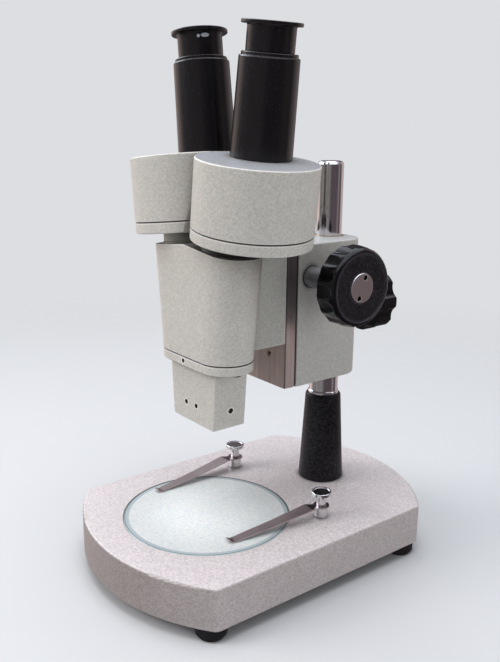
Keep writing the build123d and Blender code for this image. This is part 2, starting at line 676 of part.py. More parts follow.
# ---------------------------------------------------------------------------
# Focus slide and rack
# ---------------------------------------------------------------------------
with BuildPart() as focus_slide:
    with BuildSketch(TABLE.offset(SLIDE_Z0)) as slide_outline:
        with Locations((0, (SLIDE_Y0 + SLIDE_Y1) / 2)):
            Rectangle(2 * ARM_HALF, SLIDE_Y1 - SLIDE_Y0)
        fillet(slide_outline.vertices(), 0.5)
    extrude(amount=SLIDE_Z1 - SLIDE_Z0)
    chamfer(focus_slide.faces().sort_by(Axis.Z)[-1].edges(), 0.4)
    chamfer(focus_slide.faces().sort_by(Axis.Z)[0].edges(), 0.4)
    # male dovetail, rooted 1 mm into the plate
    with BuildSketch(TABLE.offset(SLIDE_Z0)):
        with BuildLine():
            Polyline(
                (dove_half(SLIDE_Y1 - 1.0), SLIDE_Y1 - 1.0),
                (dove_half(DOVE_Y), DOVE_Y),
                (-dove_half(DOVE_Y), DOVE_Y),
                (-dove_half(SLIDE_Y1 - 1.0), SLIDE_Y1 - 1.0),
                close=True,
            )
        make_face()
    extrude(amount=SLIDE_Z1 - SLIDE_Z0)
    # rack slot
    with BuildSketch(TABLE.offset(SLIDE_Z0 - 1)):
        with Locations((0, 49.8)):
            Rectangle(8.0, 10.0)
    extrude(amount=SLIDE_Z1 - SLIDE_Z0 + 2, mode=Mode.SUBTRACT)
    # holes for the screws that hold the head bracket, heads sunk in the dovetail
    for radius, depth in ((1.55, 20), (2.3, 6.5)):
        with BuildSketch(front_at(DOVE_Y + 1)):
            with Locations(*SLIDE_SCREWS):
                Circle(radius)
        extrude(amount=depth, mode=Mode.SUBTRACT)
    # stop screw holes on the front face
    with BuildSketch(front_at(SLIDE_Y0 - 1)):
        with Locations(*STOP_SCREWS):
            Circle(1.8)
    extrude(amount=-6.0, mode=Mode.SUBTRACT)
save(focus_slide, "focus_slide")

SLIDE_HEAD_Y = 50.6         # rear face of the screw heads
with BuildPart() as slide_screws:
    with BuildSketch(front_at(SLIDE_HEAD_Y)):
        with Locations(*SLIDE_SCREWS):
            Circle(2.2)
    extrude(amount=4.5)
    with BuildSketch(front_at(SLIDE_HEAD_Y)):
        with Locations(*SLIDE_SCREWS):
            RegularPolygon(1.2, 6)
    extrude(amount=2.0, mode=Mode.SUBTRACT)
    with BuildSketch(front_at(46.2)):
        with Locations(*SLIDE_SCREWS):
            Circle(1.5)
    extrude(amount=18)
save(slide_screws, "slide_screws")

with BuildPart() as stop_screws:
    with BuildSketch(front_at(SLIDE_Y0 + 4.8)):
        with Locations(*STOP_SCREWS):
            Circle(1.75)
    extrude(amount=4.3)
    with BuildSketch(front_at(SLIDE_Y0 + 0.5)):
        with Locations(*STOP_SCREWS):
            RegularPolygon(1.05, 6)
    extrude(amount=-1.6, mode=Mode.SUBTRACT)
save(stop_screws, "stop_screws")

# rack: a gap sits opposite the pinion tooth that points forward
PITCH = pi * MODULE
RACK_BACK_Y = 44.86         # its plain front face, in the slot of the slide
RACK_Z0, RACK_Z1 = SLIDE_Z0 + 1.0, SLIDE_Z1 - 1.0
PITCH_LINE_Y = SHAFT_Y - PINION_R
ROOT_Y = PITCH_LINE_Y - TOOTH_ROOT
TIP_Y = PITCH_LINE_Y + TOOTH_TIP
TOOTH_HALF = PITCH / 4 - 0.04           # half tooth at the pitch line, less backlash
ROOT_HALF = TOOTH_HALF + TOOTH_ROOT * tan(radians(20))
TIP_HALF = TOOTH_HALF - TOOTH_TIP * tan(radians(20))
rack_points = [(RACK_BACK_Y, RACK_Z0), (ROOT_Y, RACK_Z0)]
for k in range(-30, 12):
    tooth_z = SHAFT_Z + (k + 0.5) * PITCH
    if tooth_z - PITCH / 2 < RACK_Z0 + 0.2 or tooth_z + PITCH / 2 > RACK_Z1 - 0.2:
        continue
    rack_points += [
        (ROOT_Y, tooth_z - ROOT_HALF), (TIP_Y, tooth_z - TIP_HALF),
        (TIP_Y, tooth_z + TIP_HALF), (ROOT_Y, tooth_z + ROOT_HALF),
    ]
rack_points += [(ROOT_Y, RACK_Z1), (RACK_BACK_Y, RACK_Z1)]
with BuildPart() as rack:
    with BuildSketch(SIDE.offset(-3.9)):
        with BuildLine():
            Polyline(*rack_points, close=True)
        make_face()
    extrude(amount=7.8)
save(rack, "rack")

# ---------------------------------------------------------------------------
# Head: oval objective housing, its ring, bracket, objective block
# ---------------------------------------------------------------------------
OVAL_DEPTH = 15.1           # half depth
OVAL_Y = 1.0                # centre
OVAL_Z0 = 126.3
OVAL_Z1 = 192.0
OVAL_BOTTOM = 31.3          # half width; the ends lean with the optical axes
OVAL_TOP = OVAL_BOTTOM + (OVAL_Z1 - OVAL_Z0) * TILT_TAN
OVAL_WALL = 2.5
RING_Z0 = 121.0


def draw_oval(half_width, half_depth):
    """A slot shape centred on the oval housing."""
    with Locations((0, OVAL_Y)):
        SlotOverall(2 * half_width, 2 * half_depth)


# inner void of the oval housing: straight sided, under a double-pitched ceiling
with BuildPart() as oval_void:
    for z, half_width in ((OVAL_Z0 - 5, OVAL_BOTTOM), (OVAL_Z1, OVAL_TOP)):
        with BuildSketch(TABLE.offset(z)):
            draw_oval(half_width - OVAL_WALL, OVAL_DEPTH - OVAL_WALL)
    loft(ruled=True)
    split(bisect_by=CHANNEL.offset(ROOF_H - 4.0), keep=Keep.BOTTOM)
    split(bisect_by=CHANNEL_LEFT.offset(ROOF_H - 4.0), keep=Keep.BOTTOM)

with BuildPart() as objective_housing:
    for z, half_width, half_depth in (
        (OVAL_Z0, OVAL_BOTTOM - 0.4, OVAL_DEPTH - 0.4),
        (OVAL_Z0 + 0.4, OVAL_BOTTOM + 0.05, OVAL_DEPTH),
        (OVAL_Z1, OVAL_TOP, OVAL_DEPTH),
    ):
        with BuildSketch(TABLE.offset(z)):
            draw_oval(half_width, half_depth)
    loft(ruled=True)
    split(bisect_by=CHANNEL.offset(ROOF_H), keep=Keep.BOTTOM)
    split(bisect_by=CHANNEL_LEFT.offset(ROOF_H), keep=Keep.BOTTOM)
    add(oval_void.part, mode=Mode.SUBTRACT)
    # seats the necks turn in
    for channel in (CHANNEL, CHANNEL_LEFT):
        with BuildSketch(channel.offset(ROOF_H - 8)):
            Circle(NECK_R + RUN)
        extrude(amount=12, mode=Mode.SUBTRACT)
    # bracket screw holes through the rear wall
    with BuildSketch(front_at(20)):
        with Locations(*BRACKET_SCREWS):
            Circle(2.05)
    extrude(amount=15, mode=Mode.SUBTRACT)
save(objective_housing, "objective_housing")

with BuildPart() as housing_ring:
    with BuildSketch(TABLE.offset(RING_Z0)):
        draw_oval(OVAL_BOTTOM + 0.1, OVAL_DEPTH + 0.1)
    extrude(amount=OVAL_Z0 - RING_Z0 - 0.04)
    chamfer(housing_ring.faces().sort_by(Axis.Z)[-1].edges(), 0.4)
    fillet(housing_ring.faces().sort_by(Axis.Z)[0].edges(), 0.8)
    # light paths
    with BuildSketch(TABLE.offset(RING_Z0 - 1)):
        with Locations((-11.0, OVAL_Y), (11.0, OVAL_Y)):
            Circle(8.0)
    extrude(amount=10, mode=Mode.SUBTRACT)
    # a set screw hole in front, two screw holes from below
    with BuildSketch(front_at(OVAL_Y - OVAL_DEPTH - 2)):
        with Locations(RING_SET_SCREW):
            Circle(1.25)
    extrude(amount=-6.5, mode=Mode.SUBTRACT)
    with BuildSketch(TABLE.offset(RING_Z0 - 1)):
        with Locations((-26.0, OVAL_Y), (26.0, OVAL_Y)):
            Circle(1.55)
    extrude(amount=10, mode=Mode.SUBTRACT)
save(housing_ring, "housing_ring")

RING_HEAD_Z = RING_Z0 - 1.7     # underside of the screw heads
with BuildPart() as ring_screws:
    with BuildSketch(TABLE.offset(RING_HEAD_Z)):
        with Locations((-26.0, OVAL_Y), (26.0, OVAL_Y)):
            Circle(2.7)
    extrude(amount=1.66)
    fillet(ring_screws.edges().group_by(Axis.Z)[0], 0.5)
    with BuildSketch(TABLE.offset(RING_Z0 - 0.1)):
        with Locations((-26.0, OVAL_Y), (26.0, OVAL_Y)):
            Circle(1.5)
    extrude(amount=5.2)
    with BuildSketch(TABLE.offset(RING_HEAD_Z)):
        with Locations((-26.0, OVAL_Y), (26.0, OVAL_Y)):
            Rectangle(6, 0.7)
    extrude(amount=0.8, mode=Mode.SUBTRACT)
    # set screw in front
    with BuildSketch(front_at(OVAL_Y - OVAL_DEPTH + 0.6)):
        with Locations(RING_SET_SCREW):
            Circle(1.2)
    extrude(amount=-3.6)
save(ring_screws, "ring_screws")

# bracket between the oval housing and the slide, hollowed to the housing's rear
BRACKET_Z0 = 129.7
with BuildPart() as head_bracket:
    with BuildSketch(TABLE.offset(BRACKET_Z0)):
        with Locations((0, 23.0)):
            Rectangle(2 * 21.4, 30.0)
    extrude(amount=SLIDE_Z1 - BRACKET_Z0 - 0.3)
    for z, half_width in ((OVAL_Z0, OVAL_BOTTOM), (OVAL_Z1, OVAL_TOP)):
        with BuildSketch(TABLE.offset(z)):
            draw_oval(half_width + 0.04, OVAL_DEPTH + 0.04)
    loft(ruled=True, mode=Mode.SUBTRACT)
    with BuildSketch(front_at(50)):
        with Locations(*SLIDE_SCREWS):
            Circle(1.55)
    extrude(amount=24, mode=Mode.SUBTRACT)
    with BuildSketch(front_at(28)):
        with Locations(*BRACKET_SCREWS):
            Circle(2.05)
    extrude(amount=20, mode=Mode.SUBTRACT)
    fillet(head_bracket.edges().filter_by(Axis.X).filter_by(lambda e: e.center().Y > 30), 0.6)
save(head_bracket, "head_bracket")

# heads inside the oval housing, shanks running rearwards into the bracket
with BuildPart() as bracket_screws:
    with BuildSketch(front_at(13.4)):
        with Locations(*BRACKET_SCREWS):
            Circle(3.4)
    extrude(amount=2.6)
    with BuildSketch(front_at(27)):
        with Locations(*BRACKET_SCREWS):
            Circle(2.0)
    extrude(amount=14)
    with BuildSketch(front_at(13.4 - 2.6)):
        with Locations(*BRACKET_SCREWS):
            RegularPolygon(1.6, 6)
    extrude(amount=-1.4, mode=Mode.SUBTRACT)
save(bracket_screws, "bracket_screws")

# square nosepiece, a little wider at the top
BLOCK_Y0, BLOCK_Y1 = -8.9, 12.1
BLOCK_Z0 = 88.1
BLOCK_BOTTOM, BLOCK_TOP = 19.0, 21.5    # half widths
CELL_R = 6.0                            # objective cells
with BuildPart() as objective_block:
    for z, half_width in ((BLOCK_Z0, BLOCK_BOTTOM), (RING_Z0 - 0.04, BLOCK_TOP)):
        with BuildSketch(TABLE.offset(z)):
            with Locations((0, (BLOCK_Y0 + BLOCK_Y1) / 2)):
                Rectangle(2 * half_width, BLOCK_Y1 - BLOCK_Y0)
    loft(ruled=True)
    fillet(objective_block.edges().filter_by(lambda e: e.bounding_box().size.Z > 20), 0.7)
    chamfer(objective_block.faces().sort_by(Axis.Z)[0].edges(), 0.4)
    # two tilted bores
    for channel in (CHANNEL, CHANNEL_LEFT):
        with BuildSketch(channel.offset(50)):
            Circle(CELL_R + 0.05)
        extrude(amount=45, mode=Mode.SUBTRACT)
    # lock screw holes: two in front, one in each side
    with BuildSketch(front_at(BLOCK_Y0 - 1)):
        with Locations(*LOCK_SCREWS_FRONT):
            Circle(1.45)
    extrude(amount=-7.0, mode=Mode.SUBTRACT)
    for side in (-1, 1):
        with BuildSketch(SIDE.offset(side * 30)):
            with Locations(LOCK_SCREW_SIDE):
                Circle(1.6)
        extrude(amount=-side * 18.0, mode=Mode.SUBTRACT)
save(objective_block, "objective_block")

LOCK_SCREW_Y = BLOCK_Y0 + 0.9   # front face of the front screws
SIDE_SCREW_R = 1.55
with BuildPart() as block_screws:
    with BuildSketch(front_at(LOCK_SCREW_Y)):
        with Locations(*LOCK_SCREWS_FRONT):
            Circle(1.4)
    extrude(amount=-1.6)
    with BuildSketch(front_at(LOCK_SCREW_Y)):
        with Locations(*LOCK_SCREWS_FRONT):
            Rectangle(2.9, 0.5)
    extrude(amount=-0.8, mode=Mode.SUBTRACT)
    # side screws: a slotted outer end on a plain shank
    for side in (1, -1):
        with BuildSketch(SIDE.offset(side * 18.6)):
            with Locations(LOCK_SCREW_SIDE):
                Circle(SIDE_SCREW_R)
                Rectangle(3.2, 0.55, mode=Mode.SUBTRACT)
        extrude(amount=-side * 0.8)
        with BuildSketch(SIDE.offset(side * 17.9)):
            with Locations(LOCK_SCREW_SIDE):
                Circle(SIDE_SCREW_R)
        extrude(amount=-side * 3.6)
save(block_screws, "block_screws")

# (radius, H)
objective_cells = revolved(CHANNEL_SIDE, CHANNEL_AXIS, [
    (4.6, 58.4), (5.4, 58.4), (CELL_R, 59.0), (CELL_R, 84.0), (5.0, 84.0), (5.0, 60.6),
    (4.6, 60.6),
], both_sides=True)
save(objective_cells, "objective_cells")

with BuildPart() as objective_lenses:
    with BuildSketch(CHANNEL_SIDE):
        with BuildLine():
            draw_lens(flat=60.7, crown=64.2, bulge_r=20.0, rim=4.95)
        make_face()
    revolve(axis=CHANNEL_AXIS)
    mirror(objective_lenses.part, about=Plane.YZ)
save(objective_lenses, "objective_lenses")

# ---------------------------------------------------------------------------
# Necks and their synchronising gear sectors
# ---------------------------------------------------------------------------
NECK_H0 = 146.3
NECK_H1 = COVER_H0 + 2.9
NECK_FLANGE_R = NECK_TOP_R + 0.5
# (radius, H)
neck = revolved(CHANNEL_SIDE, CHANNEL_AXIS, [
    (NECK_BORE_R, NECK_H0), (NECK_R, NECK_H0), (NECK_R, ROOF_H + 0.06),
    (NECK_FLANGE_R, ROOF_H + 0.06), (NECK_FLANGE_R, 155.5), (NECK_TOP_R + 0.2, 155.8),
    (NECK_TOP_R, 155.8), (NECK_TOP_R, COVER_H0 - 0.02), (9.55, COVER_H0 - 0.02),
    (9.55, NECK_H1), (NECK_BORE_R, NECK_H1),
])
save_pair(neck, "neck")

# Equal bevel sectors: pitch cones meet on the centre plane, so each housing turns
# against the other.
SYNC_TEETH = 36
GEAR_H0, GEAR_H1 = 146.6, 149.6
SECTOR_R = 10.6             # where the sector runs into its hub


def sync_gear(channel, facing, half_span, first, phase):
    """A toothed sector on a hub ring. It faces the given direction in degrees and spans
    half_span to each side; teeth run from number first to 2."""
    start, end = radians(facing - half_span), radians(facing + half_span)
    outline = [
        (SECTOR_R * cos(start), SECTOR_R * sin(start)),
        *gear_teeth(
            SYNC_TEETH, GEAR_H0 * TILT_TAN, addendum=0.72, dedendum=1.05,
            backlash=0.16, first=first, last=2, phase=phase,
        ),
        (SECTOR_R * cos(end), SECTOR_R * sin(end)),
    ]
    with BuildPart() as gear:
        for h in (GEAR_H0, GEAR_H1):
            with BuildSketch(channel.offset(h)):
                with BuildLine():
                    Polyline(*[(x * h / GEAR_H0, y * h / GEAR_H0) for x, y in outline], close=True)
                make_face()
        loft(ruled=True)
        with BuildSketch(channel.offset(GEAR_H0)):
            Circle(11.3)
        extrude(amount=3.9)
        with BuildSketch(channel.offset(GEAR_H0 - 1)):
            Circle(NECK_R + 0.03)
        extrude(amount=8, mode=Mode.SUBTRACT)
    return gear


# the left sector is half a tooth out of step, so the two mesh
save(sync_gear(CHANNEL, 180, 24, first=-2, phase=pi), "sync_gear_right")
save(sync_gear(CHANNEL_LEFT, 0, 29, first=-3, phase=pi / SYNC_TEETH), "sync_gear_left")

# ---------------------------------------------------------------------------
# Prism housings
# ---------------------------------------------------------------------------
# The drum's inner side is relieved so that it clears its twin at every eye spacing:
# a conical patch about the optical axis between two tangent flats.
RELIEF_START = radians(180.0 - IPD_IN)
RELIEF_END = radians(180.0 + IPD_OUT)
RELIEF_MID = (RELIEF_START + RELIEF_END) / 2
RELIEF_FLAT = 60            # length of each flat
RELIEF_X = -90              # inner limit of the cutter
with BuildPart() as drum_relief:
    for h in (150.0, 210.0):
        patch_r = h * TILT_TAN - 0.8
        patch_start, patch_mid, patch_end = [
            (patch_r * cos(angle), patch_r * sin(angle))
            for angle in (RELIEF_START, RELIEF_MID, RELIEF_END)
        ]
        flat_start = (
            patch_start[0] + RELIEF_FLAT * sin(RELIEF_START),
            patch_start[1] - RELIEF_FLAT * cos(RELIEF_START),
        )
        flat_end = (
            patch_end[0] - RELIEF_FLAT * sin(RELIEF_END),
            patch_end[1] + RELIEF_FLAT * cos(RELIEF_END),
        )
        with BuildSketch(CHANNEL.offset(h)):
            with BuildLine():
                Line(flat_start, patch_start)
                ThreePointArc(patch_start, patch_mid, patch_end)
                Line(patch_end, flat_end)
                Line(flat_end, (RELIEF_X, flat_end[1]))
                Line((RELIEF_X, flat_end[1]), (RELIEF_X, flat_start[1]))
                Line((RELIEF_X, flat_start[1]), flat_start)
            make_face()
    loft(ruled=True)


def draw_drum_disc(radius, inner_x):
    """A disc centred on the drum, cut off flat on its inner side."""
    with Locations(DRUM_C):
        Circle(radius)
    with Locations((inner_x - 40, 0)):
        Rectangle(80, 120, mode=Mode.SUBTRACT)


with BuildPart() as prism_cover:
    with BuildSketch(CHANNEL.offset(COVER_H0)):
        with Locations(DRUM_C):
            Circle(DRUM_R - 0.05)
    extrude(amount=COVER_H1 - COVER_H0)
    chamfer(prism_cover.edges().filter_by(GeomType.CIRCLE).sort_by(CHANNEL_AXIS)[-1], 0.45)
    fillet(prism_cover.edges().filter_by(GeomType.CIRCLE).sort_by(CHANNEL_AXIS)[0], 0.7)
    add(drum_relief.part, mode=Mode.SUBTRACT)
    with BuildSketch(CHANNEL.offset(COVER_H0 + 3.0)):
        draw_drum_disc(DRUM_R - 3.0, -13.5)
    extrude(amount=10, mode=Mode.SUBTRACT)
    # neck hole
    with BuildSketch(CHANNEL.offset(COVER_H0 - 1)):
        Circle(9.6)
    extrude(amount=10, mode=Mode.SUBTRACT)
save_pair(prism_cover, "prism_cover")

DRUM_H0 = COVER_H1 + 0.05
PAD_H0 = PLATE_H1 + 0.12
with BuildPart() as prism_housing:
    with BuildSketch(CHANNEL.offset(DRUM_H0)):
        with Locations(DRUM_C):
            Circle(DRUM_R)
    extrude(amount=DRUM_H1 - DRUM_H0)
    fillet(prism_housing.edges().filter_by(GeomType.CIRCLE).sort_by(CHANNEL_AXIS)[-1], 0.8)
    chamfer(prism_housing.edges().filter_by(GeomType.CIRCLE).sort_by(CHANNEL_AXIS)[0], 0.45)
    add(drum_relief.part, mode=Mode.SUBTRACT)
    with BuildSketch(CHANNEL.offset(COVER_H1 - 1)):
        draw_drum_disc(DRUM_R - 2.6, -14.0)
    extrude(amount=DRUM_H1 - 3.0 - COVER_H1 + 1, mode=Mode.SUBTRACT)
    # pads that carry the prism plate
    with BuildSketch(CHANNEL.offset(PAD_H0)):
        with Locations((31.5, 2.0), (26.0, 25.5), (6.0, -14.5)):
            Circle(3.2)
        with Locations(DRUM_C):
            Circle(DRUM_R - 1.5, mode=Mode.INTERSECT)
    extrude(amount=DRUM_H1 - 1.5 - PAD_H0)
    # eyepiece tube seat
    with BuildSketch(CHANNEL.offset(190)):
        with Locations(TUBE_C):
            Circle(TUBE_SEAT_R + 0.05)
    extrude(amount=20, mode=Mode.SUBTRACT)
save_pair(prism_housing, "prism_housing")

# Porro pair: the first prism folds the beam over along 45 degrees, the second folds it
# back up, so the beam steps from the objective axis to (FOLD, FOLD) to the eyepiece axis.
FOLD = TUBE_C[1] / 2
LEG = TUBE_C[1] / sqrt(2)   # sideways step of each prism, half its long face
with BuildPart() as prism_plate:
    with BuildSketch(CHANNEL.offset(PLATE_H0)):
        draw_drum_disc(DRUM_R - 3.2, -13.0)
        with Locations((0, 0), (FOLD, FOLD), TUBE_C):
            Circle(5.6, mode=Mode.SUBTRACT)
    extrude(amount=PLATE_H1 - PLATE_H0)
save_pair(prism_plate, "prism_plate")


def fold_plane(centre, level, fold):
    """Plane through a prism's long face: local x along the fold, local y up the axis."""
    base = CHANNEL.from_local_coords(Vector(0, 0, 0))
    along = CHANNEL.from_local_coords(Vector(fold[0], fold[1], 0)) - base
    normal = CHANNEL.from_local_coords(Vector(fold[1], -fold[0], 0)) - base
    origin = CHANNEL.from_local_coords(Vector(centre[0], centre[1], level))
    return Plane(origin, x_dir=along, z_dir=normal)


UPPER_PRISM = fold_plane((FOLD / 2, FOLD / 2), PLATE_H1 + 0.02, (1, 1))
LOWER_PRISM = fold_plane((FOLD / 2, FOLD * 1.5), PLATE_H0 - 0.02, (-1, 1))

# each prism is a right-angled wedge with its apex cut flat; up is +1 above the plate
PRISM_FLAT = 1.6
with BuildPart() as prisms:
    for plane, up in ((UPPER_PRISM, 1), (LOWER_PRISM, -1)):
        with BuildSketch(plane):
            with BuildLine():
                Polyline(
                    (-LEG, 0), (LEG, 0),
                    (PRISM_FLAT, up * (LEG - PRISM_FLAT)), (-PRISM_FLAT, up * (LEG - PRISM_FLAT)),
                    close=True,
                )
            make_face()
        extrude(amount=7.0, both=True)
save_pair(prisms, "prisms")

# spring straps over the prism apexes, with feet beside the long faces
with BuildPart() as prism_clamps:
    for plane, up, foot in ((UPPER_PRISM, 1, 3.4), (LOWER_PRISM, -1, 2.6)):
        with BuildSketch(plane):
            with BuildLine():
                Polyline(
                    (-LEG - foot, 0.0), (-LEG - 0.6, 0.0), (-1.9, up * (LEG - 1.52)),
                    (1.9, up * (LEG - 1.52)), (LEG + 0.6, 0.0), (LEG + foot, 0.0),
                    (LEG + foot, up * 0.5), (LEG + 0.9, up * 0.5), (2.1, up * (LEG - 1.0)),
                    (-2.1, up * (LEG - 1.0)), (-LEG - 0.9, up * 0.5), (-LEG - foot, up * 0.5),
                    close=True,
                )
            make_face()
        extrude(amount=2.2, both=True)
save_pair(prism_clamps, "prism_clamps")

# ---------------------------------------------------------------------------
# Eyepiece tubes and eyepieces (23.2 mm barrels). Profiles are (radius, H).
# ---------------------------------------------------------------------------
BARREL_R = 11.6
TUBE_BORE_R = BARREL_R + 0.05
eyepiece_tube = revolved(TUBE_SIDE, TUBE_AXIS, [
    (TUBE_BORE_R, 198.2), (TUBE_SEAT_R, 198.2), (TUBE_SEAT_R, DRUM_H1 + 0.03),
    (15.6, DRUM_H1 + 0.03), (15.9, 201.3), (15.0, 248.5), (14.7, 249.0), (13.95, 249.15),
    (13.95, TUBE_H1), (13.7, TUBE_H1 + 0.3), (TUBE_BORE_R, TUBE_H1 + 0.3),
])
save_pair(eyepiece_tube, "eyepiece_tube")

eyepiece_body = revolved(TUBE_SIDE, TUBE_AXIS, [
    (10.3, 222.0), (BARREL_R - 0.3, 222.0), (BARREL_R, 222.4), (BARREL_R, TUBE_H1 + 0.35),
    (11.8, TUBE_H1 + 0.35), (12.0, TUBE_H1 + 0.6), (12.0, 262.6), (12.4, 263.1),
    (14.7, 263.2), (15.0, 263.5), (15.0, 264.7), (14.7, 265.0), (13.2, 265.0), (8.2, 263.5),
    (7.0, 263.0), (7.0, 261.3), (8.3, 261.3), (8.3, 251.0), (10.3, 249.0),
])
save_pair(eyepiece_body, "eyepiece_body")

# eye lens bulging upwards, field lens bulging downwards: (flat, crown, bulge_r, rim)
EYEPIECE_LENSES = [(256.9, 262.0, 30.0, 8.25), (228.4, 224.2, 40.0, 10.25)]
with BuildPart() as eyepiece_lenses:
    for lens in EYEPIECE_LENSES:
        with BuildSketch(TUBE_SIDE):
            with BuildLine():
                draw_lens(*lens)
            make_face()
        revolve(axis=TUBE_AXIS)
save_pair(eyepiece_lenses, "eyepiece_lenses")
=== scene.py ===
"""Stereo microscope: materials, floor, lights and camera for its CAD pieces.

Metres, +Z up, +X to the right, the pillar towards +Y. The stage lies at z = 0 round the
origin, over a table at z = TABLE_Z. The two optical axes rise from just above the origin
and lean outwards, one to +X (right) and one to -X (left).
"""
import math

import bpy
from mathutils import Matrix, Vector


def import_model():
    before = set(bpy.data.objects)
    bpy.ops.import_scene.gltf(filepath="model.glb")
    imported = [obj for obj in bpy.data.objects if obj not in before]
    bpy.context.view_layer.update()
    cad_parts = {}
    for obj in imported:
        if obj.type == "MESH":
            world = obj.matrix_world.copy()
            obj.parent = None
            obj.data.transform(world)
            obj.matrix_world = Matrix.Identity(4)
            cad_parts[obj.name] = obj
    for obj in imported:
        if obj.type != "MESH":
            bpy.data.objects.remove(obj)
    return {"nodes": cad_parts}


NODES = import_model()["nodes"]
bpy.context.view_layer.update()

# ---------------------------------------------------------------- places
TABLE_Z = -0.0306
LEAN = math.radians(6.66)  # of each optical axis from the vertical
LEAN_SIN, LEAN_COS = math.sin(LEAN), math.cos(LEAN)
AXIS_Z = 0.0004  # height where the two optical axes meet
AXIS_START = Vector((0.0, 0.0, AXIS_Z))
SHAFT = Vector((0.0, 0.056, 0.1349))  # middle of the focus shaft, which runs along x
SIDES = (("right", +1), ("left", -1))
X_AXIS = (1, 0, 0)
Z_AXIS = (0, 0, 1)

# by side: direction of the optical axis, and points on the tube's and the drum's own axes
AXIS_DIR = {side: Vector((side * LEAN_SIN, 0, LEAN_COS)) for _, side in SIDES}
TUBE_START = {
    side: Vector((side * LEAN_COS * 0.0001, 0.0178, AXIS_Z - LEAN_SIN * 0.0001))
    for _, side in SIDES
}
DRUM_START = {
    side: AXIS_START + Vector((side * LEAN_COS * 0.00797, 0.00979, -LEAN_SIN * 0.00797))
    for _, side in SIDES
}

CAMERA_AZIMUTH = math.radians(52.10)


# ---------------------------------------------------------------- colours
def linear(*srgb):
    """sRGB 0-255 to linear."""
    channels = []
    for value in srgb:
        value /= 255.0
        low = value <= 0.04045
        channels.append(value / 12.92 if low else ((value + 0.055) / 1.055) ** 2.4)
    return tuple(channels)


def gain(color, factor, lift=0.0, limit=math.inf):
    """A colour times a factor plus a lift, each channel held to a limit."""
    return tuple(min(limit, channel * factor + lift) for channel in color)


# ---------------------------------------------------------------- node helpers
class Graph:
    """Short calls that add shader nodes to one tree. Sizes and distances are in metres."""

    def __init__(self, tree):
        self.tree = tree
        tree.nodes.clear()

    def node(self, kind, inputs=None, **settings):
        node = self.tree.nodes.new(kind)
        for name, value in settings.items():
            setattr(node, name, value)
        for key, value in (inputs or {}).items():
            self.put(node.inputs[key], value)
        return node

    def put(self, socket, value):
        """Link a socket, or set a value; an RGB colour gets alpha 1."""
        if isinstance(value, bpy.types.NodeSocket):
            self.tree.links.new(value, socket)
        elif isinstance(value, tuple) and len(value) == 3 and len(socket.default_value) == 4:
            socket.default_value = (*value, 1.0)
        else:
            socket.default_value = value

    # arithmetic
    def math(self, operation, first, second=0.0):
        return self.node("ShaderNodeMath", {0: first, 1: second}, operation=operation).outputs[0]

    def add(self, first, second):
        return self.math("ADD", first, second)

    def sub(self, first, second):
        return self.math("SUBTRACT", first, second)

    def mul(self, first, second):
        return self.math("MULTIPLY", first, second)

    def hypot(self, x, y):
        return self.math("SQRT", self.add(self.mul(x, x), self.mul(y, y)))

    def weighted(self, *terms, start=None):
        """Start plus the sum of value * weight."""
        total = start
        for value, weight in terms:
            part = self.mul(value, weight)
            total = part if total is None else self.add(total, part)
        return total

    def mask(self, value, zero_at, one_at, to=(0.0, 1.0), smooth=False):
        """0 at zero_at, 1 at one_at and held beyond them; `to` replaces that 0 and 1."""
        node = self.node("ShaderNodeMapRange", clamp=True)
        if smooth:
            node.interpolation_type = "SMOOTHSTEP"
        for i, item in enumerate((value, zero_at, one_at, *to)):
            self.put(node.inputs[i], item)
        return node.outputs[0]

    def band(self, value, rise, fall, smooth=False):
        """1 between a rise and a fall, each given as (zero_at, one_at)."""
        return self.mul(self.mask(value, *rise, smooth=smooth),
                        self.mask(value, *fall, smooth=smooth))

    # vectors
    def split(self, vector):
        return self.node("ShaderNodeSeparateXYZ", {0: vector}).outputs[0:3]

    def join(self, x, y, z):
        return self.node("ShaderNodeCombineXYZ", {0: x, 1: y, 2: z}).outputs[0]

    # colours
    def tint(self, base, other, mask, amount=None):
        """Base turned to other where the mask is 1, in full or by an amount."""
        factor = mask if amount is None else self.mul(mask, amount)
        return self.node("ShaderNodeMix", {"Factor": factor, 6: base, 7: other},
                         data_type="RGBA").outputs[2]

    def scaled(self, color, factor):
        return self.node("ShaderNodeVectorMath", {0: color, 3: factor},
                         operation="SCALE").outputs[0]

    def not_negative(self, color):
        return self.node("ShaderNodeVectorMath", {0: color}, operation="MAXIMUM").outputs[0]

    def vary(self, color, *terms):
        """A colour times 1 + the sum of (value - 0.5) * amount."""
        factor = 1.0
        for value, amount in terms:
            factor = self.add(factor, self.mul(self.sub(value, 0.5), amount))
        if not isinstance(color, bpy.types.NodeSocket):
            constant = self.node("ShaderNodeRGB")
            constant.outputs[0].default_value = (*color, 1.0)
            color = constant.outputs[0]
        return self.scaled(color, factor)


